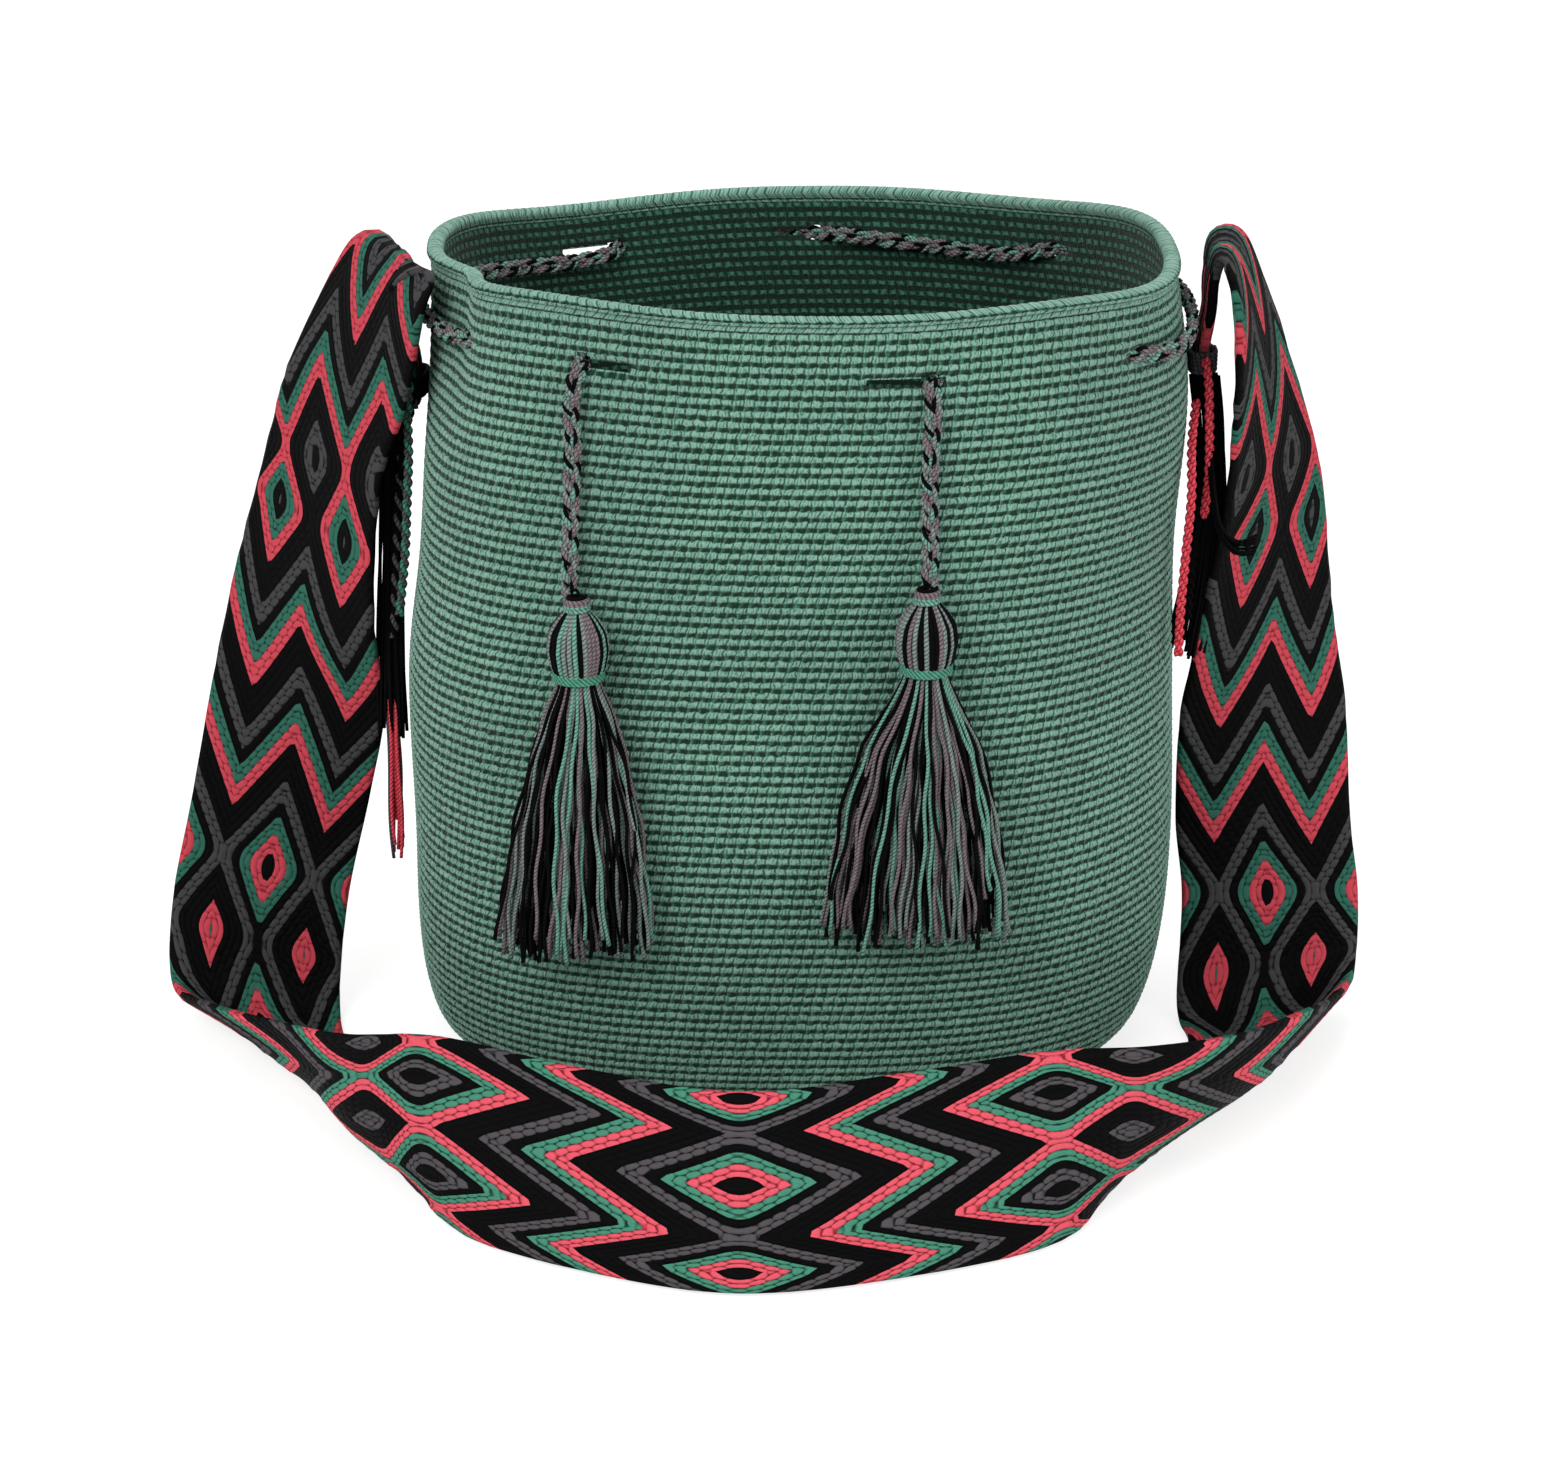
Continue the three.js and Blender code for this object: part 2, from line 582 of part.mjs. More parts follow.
const group = new THREE.Group();
group.add(bagBody());
group.add(drawstring());
for (const plan of TASSELS) group.add(...tassel(plan));
group.add(shoulderStrap());
for (const [name, plan] of Object.entries(LASHINGS)) group.add(lashing(name, plan));
for (const [name, points] of Object.entries(END_CORDS)) group.add(endCord(name, points));
group.add(fringe());

export default group;
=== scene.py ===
"""Looks of a crocheted shoulder bag that stands open, with a laced drawstring, two tassels and a woven strap.

Shapes are worked out in millimetres as whole arrays and put into the meshes in metres, +Z up, the front along -Y.
"""

import math

import bpy
import numpy as np
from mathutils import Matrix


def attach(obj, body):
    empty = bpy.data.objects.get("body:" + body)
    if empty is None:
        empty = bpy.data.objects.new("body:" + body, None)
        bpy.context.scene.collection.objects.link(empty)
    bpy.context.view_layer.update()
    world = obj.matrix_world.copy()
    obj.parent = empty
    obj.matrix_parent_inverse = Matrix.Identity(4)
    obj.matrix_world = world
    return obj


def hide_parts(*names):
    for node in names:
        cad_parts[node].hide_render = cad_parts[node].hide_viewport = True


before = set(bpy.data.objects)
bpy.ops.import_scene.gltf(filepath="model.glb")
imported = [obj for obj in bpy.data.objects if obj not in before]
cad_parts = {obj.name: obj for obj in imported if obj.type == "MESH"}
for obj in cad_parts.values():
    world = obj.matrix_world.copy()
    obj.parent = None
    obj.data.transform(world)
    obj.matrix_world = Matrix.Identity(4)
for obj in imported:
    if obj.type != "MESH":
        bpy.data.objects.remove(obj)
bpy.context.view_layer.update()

MM = 0.001
chance = np.random.default_rng(7)

# Sizes shared with the solids

BAG_HEIGHT = 309
WALL = 3.5
SQUARENESS = 2.5
HALF_WIDTH = [[0, 124], [6, 136], [20, 143], [45, 147], [80, 148], [150, 147], [200, 143], [260, 142], [309, 138]]
HALF_DEPTH = [[0, 84], [6, 96], [20, 103], [45, 107], [80, 109], [150, 108], [200, 106], [260, 104], [309, 101]]
LEAN = [[0, 2], [80, 4], [150, 2.5], [200, 5], [260, 9], [309, 7]]
RIM_WAVE = 2.5
SIDE_WAVE = 1.6
DENT = {"bearing": 200, "depth": 12, "spread": 14, "foot": 225}

# Where each slit starts and ends round the wall, and its height. Routes of cords: bearing, distance out, height.
SLITS = [
    [-119, -111, 288],
    [-84, -75, 286],
    [-38, -32, 286],
    [45, 50, 290],
    [84, 92, 291],
    [118, 128, 290],
    [160, 165, 288],
    [206, 211, 287],
]

CORD = 5.6
OUT = CORD / 2 + 0.9
IN = -WALL - CORD / 2 - 0.9
MID = -WALL / 2
LEFT_END_ROUTE = [[-118.6, MID, 288], [-118.6, OUT + 1, 280], [-118.5, OUT + 1.4, 262], [-118.1, OUT + 2, 235],
                  [-117.2, OUT + 4, 212.4]]
LACED_ROUTE = [
    [-118.6, MID, 288],
    [-123, IN, 288], [-138, IN, 287], [-146, IN, 287], [-151, MID, 287],
    [-157, OUT, 287], [-168, OUT, 287], [-180, OUT, 287], [-192, OUT, 288], [-197, MID, 288],
    [-203, IN, 288], [-218, IN, 287], [-231, IN, 287], [-240, IN, 289], [-243, MID, 290],
    [-247, OUT, 290], [-256, OUT, 289], [-264, OUT, 290], [-268, OUT, 291], [-271, MID, 291],
    [-275, IN, 291], [-288, IN, 288], [-301, IN, 287], [-308, IN, 289], [-312, MID, 290],
    [-318, OUT, 289], [-332, OUT, 287], [-347, OUT, 286], [-360, OUT, 286], [-376, OUT, 286], [-389, OUT, 286],
    [-395, MID, 286], [-400, IN, 286], [-412, IN, 285], [-426, IN, 286], [-432, IN, 286], [-436.4, MID, 286],
]
RIGHT_END_ROUTE = [[-436.4, MID, 286], [-437.2, OUT + 1, 278], [-437.8, OUT + 1.4, 260], [-437.4, OUT + 2, 235],
                   [-437, OUT + 4, 217.4]]

TASSEL_HEAD = 11
TASSEL_GAP = 1.2
TASSELS = [
    {"side": "left", "bearing": -116.3, "top": 212, "tie": 182, "hem": 79, "spread": 29, "drift": -3},
    {"side": "right", "bearing": -76, "top": 217, "tie": 187, "hem": 85, "spread": 35, "drift": -2},
]

# Stations along the strap: its outer edge, its inner edge, and how far it bellies out between them.
STRAP_THICKNESS = 3.6
STRAP_WIDTH = 70
STRAP = [
    [[-137.4, 11, 250], [-137.4, -11, 250], 0],
    [[-138, 11, 267], [-138, -11, 267], 0],
    [[-142.5, 12, 285], [-142.5, -12, 285], 0],
    [[-143.5, 16, 299], [-142, -19, 298], 0],
    [[-150, 21, 308.5], [-131, -29, 306.5], 0],
    [[-160, 24, 307], [-125.5, -36, 304.5], 0],
    [[-169, 23, 294], [-130, -38, 291], 0],
    [[-186, 22, 262], [-137.5, -31, 258], 0],
    [[-198, 25, 226], [-149.5, -25, 224], 0],
    [[-214, 19, 171], [-155, -19, 169], 0],
    [[-223, 5, 131], [-154, -5, 129], 0],
    [[-232, 0, 90], [-162, 0, 90], 0],
    [[-242.5, 0, 46], [-173, -2, 44], 0],
    [[-243, -12, 14], [-176, -18, 4], 4],
    [[-222, -45, 20], [-163, -62, 1], 6],
    [[-190, -85, 33], [-143, -106, 1], 9],
    [[-158, -122, 46], [-131, -146, 1], 12],
    [[-120, -150, 59], [-111, -187, 1], 4],
    [[-68, -178, 61], [-66, -213, 1], 0],
    [[-14, -197, 62], [-14, -227, 1], 0],
    [[40, -184, 62], [44, -216, 1], 0],
    [[92, -167, 62], [96, -193, 1], 2],
    [[131, -153, 57], [116, -157, 1], 8],
    [[165, -130, 50], [134, -119, 1], 10],
    [[193, -93, 40], [152, -80, 1], 12],
    [[215, -52, 28], [160, -40, 2], 10],
    [[229, -10, 20], [158, -18, 6], 4],
    [[230, 0, 48], [160, -1, 46], 0],
    [[225, 0, 80], [156, 0, 80], 0],
    [[221, 9, 128], [155, -9, 127], 0],
    [[216, 19, 158], [158, -19, 158], 0],
    [[209, 27, 213], [165, -27, 213], 0],
    [[198, 31, 250], [167, -31, 250], 0],
    [[183, 33, 290], [166, -34, 286], 0],
    [[173, 30, 308], [162.5, -32, 305], 0],
    [[162.5, 20, 309.5], [160.5, -20, 308], 0],
    [[159.5, 12, 298], [159.5, -12, 298], 0],
    [[159.2, 9, 287], [159.2, -9, 287], 0],
    [[157.2, 9, 272], [157.2, -9, 272], 0],
    [[156.8, 9, 256], [156.8, -9, 256], 0],
]
FRONT_STATION = 19

# Each lashing's middle, and its half width and half depth.
LASHINGS = {
    "left_strap_lashing": [[-137.5, 0, 258], 12.2, 3.7],
    "right_strap_lashing": [[157.3, 0, 267], 10.2, 3.7],
}

END_CORDS = {
    "left_green_end_cord": [[-137.5, -16.6, 262], [-138.4, -19, 250], [-138.6, -20, 235], [-140, -20.5, 215],
                            [-141.6, -20.5, 195], [-144.6, -20.5, 172]],
    "left_black_end_cord": [[-138.5, -6, 249], [-142, -9, 238], [-143.5, -12, 220], [-145, -13, 200],
                            [-146.5, -13, 182], [-148, -13, 160]],
    "right_coral_end_cord": [[157, -13.4, 270], [158, -19, 262], [158.5, -22, 250], [159, -23, 238], [159, -24, 226],
                             [158, -24, 212]],
    "right_black_end_cord": [[155.5, -6, 246], [156.5, -13, 238], [156.5, -18, 225], [156, -20, 208],
                             [155, -21, 190], [154, -22, 172]],
    "right_long_coral_end_cord": [[154, -16.8, 255], [151.5, -29, 242], [151, -39, 224], [149.5, -42, 202],
                                  [148.5, -43, 182], [148.5, -43, 164]],
    "right_long_black_end_cord": [[158.5, 2, 250], [163, -4, 236], [164, -8, 215], [163, -10, 190], [161, -10, 160]],
}
FRINGE = {"x": -150.5, "y": -9, "top": 134, "hem": 66, "half": 3, "spread": 6}

# Camera: at the photograph's angle

camera_data = bpy.data.cameras.new("camera")
camera_data.sensor_fit = "HORIZONTAL"
camera_data.sensor_width = 36
camera_data.lens = 74.67
camera = bpy.data.objects.new("camera", camera_data)
camera.location = (0, -1.18, 0.58)
camera.rotation_euler = (math.radians(68.6), 0, 0)
bpy.context.scene.collection.objects.link(camera)
bpy.context.scene.camera = camera
bpy.context.scene.view_settings.view_transform = "Standard"

# Shapes of the solids, as arrays


def along(table, z):
    """A size at a height: a cubic through the table's points, sloping at each as its two neighbours do."""
    knots, values = np.array(table, float).T
    z = np.asarray(z, float)
    before = np.maximum(np.arange(len(knots)) - 1, 0)
    after = np.minimum(np.arange(len(knots)) + 1, len(knots) - 1)
    slopes = (values[after] - values[before]) / (knots[after] - knots[before])
    i = np.searchsorted(knots[1:-1], z, side="left")
    run = knots[i + 1] - knots[i]
    t = np.clip((z - knots[i]) / run, 0, 1)
    m0, m1, rise = slopes[i] * run, slopes[i + 1] * run, values[i + 1] - values[i]
    return values[i] + t * (m0 + t * (3 * rise - 2 * m0 - m1 + t * (m0 + m1 - 2 * rise)))


def smoothstep(x, low, high):
    t = np.clip((x - low) / (high - low), 0, 1)
    return t * t * (3 - 2 * t)


def wall_point(bearing, z, out):
    """The bag's wall: a rounded box whose half sizes change with height, out millimetres outside its outer face.
    The strap dents its left rim, slow waves run round it, and the rim rises and falls a little. As a rounded box,
    a side's place is its half size times the cosine or sine of the bearing to the power 2 / SQUARENESS."""
    bearing, z, out = np.broadcast_arrays(np.asarray(bearing, float), np.asarray(z, float), np.asarray(out, float))
    turn = np.radians(bearing)
    c, s = np.cos(turn), np.sin(turn)
    reach = z / BAG_HEIGHT
    away = (bearing - DENT["bearing"] + 180) % 360 - 180
    dent = DENT["depth"] * np.exp(-((away / DENT["spread"]) ** 2)) * smoothstep(z, DENT["foot"], BAG_HEIGHT)
    soft = SIDE_WAVE * np.sin(5 * turn + 1) * np.sin(np.pi * np.minimum(reach, 1))
    wave = RIM_WAVE * reach**4 * (0.6 * np.sin(2 * turn + 0.4) + 0.6 * np.sin(5 * turn))
    grow = out - dent + soft
    x = (along(HALF_WIDTH, z) + grow) * np.sign(c) * np.abs(c) ** (2 / SQUARENESS)
    y = (along(HALF_DEPTH, z) + grow) * np.sign(s) * np.abs(s) ** (2 / SQUARENESS)
    return np.stack([along(LEAN, z) + x, y, z + wave], axis=-1)


def wall_front(x, half, z):
    """How far forward the wall comes at a height, within half a width of a place across the front."""
    p = wall_point(np.arange(-150, -29, 2.0)[:, None], np.atleast_1d(z)[None, :], 0)
    near = np.abs(p[..., 0] - np.atleast_1d(x)[None, :]) <= np.atleast_1d(half)[None, :] + 3
    return np.where(near, p[..., 1], 0).min(axis=0)


def spline(points, t, even=True):
    """A smooth line through points, read at places t from 0 to 1. even is the plain cubic; the other kind
    spaces its pieces by the root of their length, which keeps a cord from looping between close points."""
    p = np.array(points, float)
    p = np.concatenate([[2 * p[0] - p[1]], p, [2 * p[-1] - p[-2]]])
    place = np.clip(t, 0, 1) * (len(p) - 3)
    i = np.minimum(place.astype(int), len(p) - 4)
    w = (place - i)[:, None]
    a, b, c, d = p[i], p[i + 1], p[i + 2], p[i + 3]
    if even:
        m0, m1 = (c - a) / 2, (d - b) / 2
    else:
        gaps = [np.linalg.norm(v - u, axis=1, keepdims=True) ** 0.5 for u, v in ((a, b), (b, c), (c, d))]
        m0 = ((b - a) / gaps[0] - (c - a) / (gaps[0] + gaps[1]) + (c - b) / gaps[1]) * gaps[1]
        m1 = ((c - b) / gaps[1] - (d - b) / (gaps[1] + gaps[2]) + (d - c) / gaps[2]) * gaps[1]
    return b + w * (m0 + w * (3 * (c - b) - 2 * m0 - m1 + w * (m0 + m1 - 2 * (c - b))))


def lengths(path):
    """How far along the line each of its points is."""
    return np.concatenate([[0], np.cumsum(np.linalg.norm(np.diff(path, axis=0), axis=1))])


def evened(path, step):
    """The same line with its points a step apart, and how far along each is."""
    marks = lengths(path)
    places = np.linspace(0, marks[-1], max(int(round(marks[-1] / step)), 2) + 1)
    return np.stack([np.interp(places, marks, path[:, k]) for k in range(3)], axis=1), places


def unit(v):
    return v / np.maximum(np.linalg.norm(v, axis=-1, keepdims=True), 1e-9)


# Meshes


def mesh_piece(name, points, faces, material, uv=None, shade=None, replaces=(), parts=None):
    """One object from points in millimetres and groups of faces, each group an array with a row a face."""
    corners = np.concatenate([group.ravel() for group in faces]).astype(np.int32)
    sizes = np.concatenate([np.full(len(group), group.shape[1]) for group in faces])
    mesh = bpy.data.meshes.new(name)
    mesh.vertices.add(len(points))
    mesh.vertices.foreach_set("co", (points * MM).astype(np.float32).ravel())
    mesh.loops.add(len(corners))
    mesh.loops.foreach_set("vertex_index", corners)
    mesh.polygons.add(len(sizes))
    mesh.polygons.foreach_set("loop_start", (np.cumsum(sizes) - sizes).astype(np.int32))
    mesh.polygons.foreach_set("use_smooth", np.ones(len(sizes), bool))
    for one in material if isinstance(material, list) else [material]:
        mesh.materials.append(one)
    if parts is not None:
        mesh.polygons.foreach_set("material_index", parts.astype(np.int32))
    if uv is not None:
        layer = mesh.uv_layers.new(name="pattern")
        layer.data.foreach_set("uv", uv.astype(np.float32).ravel())
    if shade is not None:
        attribute = mesh.attributes.new("shade", "FLOAT", "POINT")
        attribute.data.foreach_set("value", shade.astype(np.float32))
    mesh.update(calc_edges=True)
    made = bpy.data.objects.new(name, mesh)
    bpy.context.scene.collection.objects.link(made)
    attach(made, "root")
    if replaces:
        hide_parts(*replaces)
    return made


def quads(rows, columns, closed=True):
    """The quads of a grid of points, row by row; closed joins the last column to the first. The second array gives
    each corner's row and column, counted on past the join so that a pattern runs over it."""
    r, c = np.meshgrid(np.arange(rows - 1), np.arange(columns if closed else columns - 1), indexing="ij")
    corner_rows = np.stack([r, r, r + 1, r + 1], axis=-1).reshape(-1, 4)
    corner_columns = np.stack([c, c + 1, c + 1, c], axis=-1).reshape(-1, 4)
    return corner_rows * columns + corner_columns % columns, corner_rows, corner_columns


def tubes(paths, radius, sides, reference):
    """Round yarns along paths, an array of yarn by point by xyz. Each point carries a circle square to the path,
    turned from the reference direction, and each end is closed. radius may differ by yarn and point."""
    count, steps = paths.shape[:2]
    run = unit(np.gradient(paths, axis=1))
    side = unit(np.cross(run, np.broadcast_to(np.asarray(reference, float), run.shape)))
    up = np.cross(side, run)
    turn = 2 * np.pi * np.arange(sides) / sides
    radius = np.broadcast_to(np.asarray(radius, float), (count, steps))
    circle = side[:, :, None] * np.cos(turn)[:, None] + up[:, :, None] * np.sin(turn)[:, None]
    points = (paths[:, :, None] + radius[:, :, None, None] * circle).reshape(-1, 3)
    one, rows, columns = quads(steps, sides)
    first = (np.arange(count) * steps * sides)[:, None, None]
    skin = (one[None, :, ::-1] + first).reshape(-1, 4)
    ring = np.arange(sides)
    ends = np.concatenate([(ring + first[:, 0]), (ring[::-1] + (steps - 1) * sides + first[:, 0])])
    marks = np.concatenate(
        [np.zeros((count, 1)), np.cumsum(np.linalg.norm(np.diff(paths, axis=1), axis=2), axis=1)], axis=1
    )
    around = (columns[:, ::-1] / sides)[None]
    length = marks[:, rows[:, ::-1]]
    uv = np.stack([np.broadcast_to(around, length.shape), length], axis=-1).reshape(-1, 2)
    uv = np.concatenate([uv, np.zeros((ends.size, 2))])
    return points, [skin, ends], uv


def joined(*bundles):
    """Several (points, faces, uv, shade) bundles as one."""
    points, faces, uv, shade, first = [], [], [], [], 0
    ends, ends_uv = [], []
    for p, groups, u, s in bundles:
        skin, cap = groups
        faces.append(skin + first)
        ends.append(cap + first)
        uv.append(u[: skin.size])
        ends_uv.append(u[skin.size:])
        points.append(p)
        shade.append(s)
        first += len(p)
    return np.concatenate(points), [np.concatenate(faces), *ends], np.concatenate(uv + ends_uv), np.concatenate(shade)


# Materials


def colour(code):
    """An sRGB hex colour as linear light."""
    channels = [int(code[i:i + 2], 16) / 255 for i in (1, 3, 5)]
    return [c / 12.92 if c <= 0.04045 else ((c + 0.055) / 1.055) ** 2.4 for c in channels] + [1]


def node(tree, kind, inputs=(), socket=0, **settings):
    """Adds a node and gives its output at socket. settings are its own properties and inputs its sockets, by name
    or in order: each a value or another node's output."""
    made = tree.nodes.new("ShaderNode" + kind)
    for key, value in settings.items():
        setattr(made, key, value)
    for key, value in inputs.items() if isinstance(inputs, dict) else enumerate(inputs):
        if isinstance(value, bpy.types.NodeSocket):
            tree.links.new(value, made.inputs[key])
        else:
            made.inputs[key].default_value = value
    return made.outputs[socket]


def ramp(tree, fac, stops, mode="LINEAR"):
    shown = node(tree, "ValToRGB", {"Fac": fac}, "Color")
    made = shown.node.color_ramp
    made.interpolation = mode
    while len(made.elements) < len(stops):
        made.elements.new(1)
    for element, (place, code) in zip(made.elements, stops):
        element.position = place
        element.color = colour(code)
    return shown


def yarn_material(name, roughness=0.9, sheen=0.15, gloss=0.2):
    """A spun yarn has no gloss: rough all over, with a pale sheen of loose fibres at grazing angles."""
    made = bpy.data.materials.new(name)
    made.use_nodes = True
    tree = made.node_tree
    shader = tree.nodes["Principled BSDF"]
    shader.inputs["Roughness"].default_value = roughness
    shader.inputs["Specular IOR Level"].default_value = gloss
    shader.inputs["Sheen Weight"].default_value = sheen
    shader.inputs["Sheen Roughness"].default_value = 0.5
    return made, tree, shader


def crochet_material(name, tones, row_top=0.48, leg_tone=0.42, gap_from=0.38, gap_shade_depth=0.34):
    """Acrylic yarn in single crochet: each stitch is one unit of the pattern map, 4 mm wide and 3.8 mm high. Its
    lower part is a hollow painted dark as shade, with the leg of the stitch across it in a lighter share of that
    painted shade, its upper part a pale ridge of two or three plies, and a thin gap, painted dark as shade, parts it
    from the next. tones run from the lit ridge to the painted shade at the bottom of a hollow."""
    made, tree, shader = yarn_material(name)
    uv = node(tree, "UVMap", uv_map="pattern")
    place = node(tree, "TexCoord", socket="Object")
    wobble = node(tree, "TexNoise", {"Vector": uv, "Scale": 1.3, "Detail": 1.5}, "Color", noise_dimensions="2D")
    shift = node(tree, "VectorMath", (wobble, (0.5, 0.5, 0.5)), operation="SUBTRACT")
    moved = node(tree, "VectorMath", (shift, (0.5, 0.32, 0), uv), operation="MULTIPLY_ADD")
    split = node(tree, "SeparateXYZ", [moved]).node.outputs
    across = node(tree, "Math", [split[0]], operation="FRACT")
    up = node(tree, "Math", [split[1]], operation="FRACT")
    # The hollow under each ridge and the gap between stitches are painted dark: painted shade.
    low = node(tree, "MapRange", (up, row_top + 0.1, row_top - 0.12), interpolation_type="SMOOTHSTEP")
    foot = node(tree, "MapRange", (up, 0.0, 0.1), interpolation_type="SMOOTHSTEP")
    hollow = node(tree, "Math", (low, foot), operation="MULTIPLY")
    from_leg = node(tree, "Math", (across, 0.3), operation="SUBTRACT")
    from_leg = node(tree, "Math", [from_leg], operation="ABSOLUTE")
    leg = node(tree, "MapRange", (from_leg, 0.07, 0.26, leg_tone, 1.0), interpolation_type="SMOOTHSTEP")
    hole = node(tree, "Math", (hollow, leg), operation="MULTIPLY")
    from_middle = node(tree, "Math", (across, 0.5), operation="SUBTRACT")
    from_middle = node(tree, "Math", [from_middle], operation="ABSOLUTE")
    gap = node(tree, "MapRange", (from_middle, gap_from, 0.5, 0.0, gap_shade_depth), interpolation_type="SMOOTHSTEP")
    painted_shade_mask = node(tree, "Math", (hole, gap), operation="MAXIMUM")
    # Plies of the yarn, three a stitch, climb each ridge as streaks of painted highlight and shade, and loose fibres
    # break them up.
    climb = node(tree, "Math", (up, 2.5), operation="MULTIPLY")
    climb = node(tree, "Math", (across, 18.85, climb), operation="MULTIPLY_ADD")
    plies = node(tree, "Math", [climb], operation="SINE")
    plies = node(tree, "Math", (plies, 0.1, painted_shade_mask), operation="MULTIPLY_ADD")
    fibre_map = node(tree, "VectorMath", (uv, (3.0, 1.1, 1)), operation="MULTIPLY")
    fibres = node(tree, "TexNoise", {"Vector": fibre_map, "Scale": 1.7, "Detail": 3.0}, noise_dimensions="2D")
    tone = node(tree, "Math", (fibres, 0.5), operation="SUBTRACT")
    tone = node(tree, "Math", (tone, 0.9, plies), operation="MULTIPLY_ADD")
    stitched = ramp(tree, tone, list(zip((0.0, 0.14, 0.36, 0.66, 1.0), tones)))
    # Slow patches of lighter and darker yarn, a few centimetres across.
    patch = node(tree, "TexNoise", {"Vector": place, "Scale": 14.0, "Detail": 2.0})
    depth = node(tree, "MapRange", (patch, 0.3, 0.7, 0.88, 1.08))
    shaded = node(tree, "HueSaturation", {"Color": stitched, "Value": depth})
    tree.links.new(shaded, shader.inputs["Base Color"])
    height = node(tree, "Math", (tone, -1.0), operation="MULTIPLY")
    bump = node(tree, "Bump", {"Height": height, "Distance": 0.0012, "Strength": 0.8})
    tree.links.new(bump, shader.inputs["Normal"])
    return made


ROWS_A_REPEAT = 10.0
FLOATS_A_LEG = 8.2
STRIPE_STARTS = (0.0, 0.18, 0.52, 0.7, 0.87)  # grey, black, coral, green, black, as shares of a repeat


def weave_material(name, lean_by_row, row_depth, lit_tones, shaded_tones):
    """Smooth yarn in a warp-faced band, with hardly any gloss. The pattern map holds d, which counts whole repeats
    of the five stripes, and t, which runs 0 to 1 between the zigzag's low and high lines. A stripe is two or three
    rows of plump yarn floats, 5 mm long and 2 mm thick, set off by half from row to row, and their ends lean across
    the row. A float is an oval in its cell, and the cells' corners between floats are painted dark in the shaded
    tones: painted shade. row_depth is how far rows part."""
    made, tree, shader = yarn_material(name, 0.75, 0.0, 0.06)
    uv = node(tree, "UVMap", uv_map="pattern")
    place = node(tree, "TexCoord", socket="Object")
    wobble = node(tree, "TexNoise", {"Vector": place, "Scale": 260.0, "Detail": 1.0}, "Color")
    shift = node(tree, "VectorMath", (wobble, (0.5, 0.5, 0.5)), operation="SUBTRACT")
    moved = node(tree, "VectorMath", (shift, (0.012, 0.03, 0), uv), operation="MULTIPLY_ADD")
    split = node(tree, "SeparateXYZ", [moved]).node.outputs
    d, t = split[0], split[1]
    rows = node(tree, "Math", (d, ROWS_A_REPEAT), operation="MULTIPLY")
    row = node(tree, "Math", [rows], operation="FLOOR")
    lean = node(tree, "Math", (d, lean_by_row), operation="MULTIPLY")
    lean = node(tree, "Math", (row, 0.5, lean), operation="MULTIPLY_ADD")
    lean = node(tree, "Math", (t, FLOATS_A_LEG, lean), operation="MULTIPLY_ADD")
    oval = 0.0
    for cell, share in ((lean, 1.0), (rows, row_depth)):
        inside = node(tree, "Math", (cell, 0.5), operation="PINGPONG")
        inside = node(tree, "Math", (inside, -2.0, 1.0), operation="MULTIPLY_ADD")
        inside = node(tree, "Math", (inside, 2.0), operation="POWER")
        oval = node(tree, "Math", (inside, share, oval), operation="MULTIPLY_ADD")
    # Painted shade: the corners between floats mix toward the shaded tones.
    painted_shade_mask = node(tree, "MapRange", (oval, 0.5, 1.45), interpolation_type="SMOOTHSTEP")
    stripe = node(tree, "Math", (d, 0.1), operation="ADD")
    stripe = node(tree, "Math", [stripe], operation="FRACT")
    lit = ramp(tree, stripe, list(zip(STRIPE_STARTS, lit_tones)), "CONSTANT")
    painted_shading = ramp(tree, stripe, list(zip(STRIPE_STARTS, shaded_tones)), "CONSTANT")
    fibres = node(tree, "TexNoise", {"Vector": place, "Scale": 1100.0, "Detail": 2.0})
    worn = node(tree, "MapRange", (fibres, 0.3, 0.7, -0.14, 0.16))
    depth = node(tree, "Math", (painted_shade_mask, worn), operation="ADD", use_clamp=True)
    mixed = node(tree, "Mix", {"Factor": depth, 6: lit, 7: painted_shading}, 2, data_type="RGBA")
    tree.links.new(mixed, shader.inputs["Base Color"])
    round_top = node(tree, "Math", (oval, -0.5, 1.0), operation="MULTIPLY_ADD")
    bump = node(tree, "Bump", {"Height": round_top, "Distance": 0.0011, "Strength": 0.8})
    tree.links.new(bump, shader.inputs["Normal"])
    return made


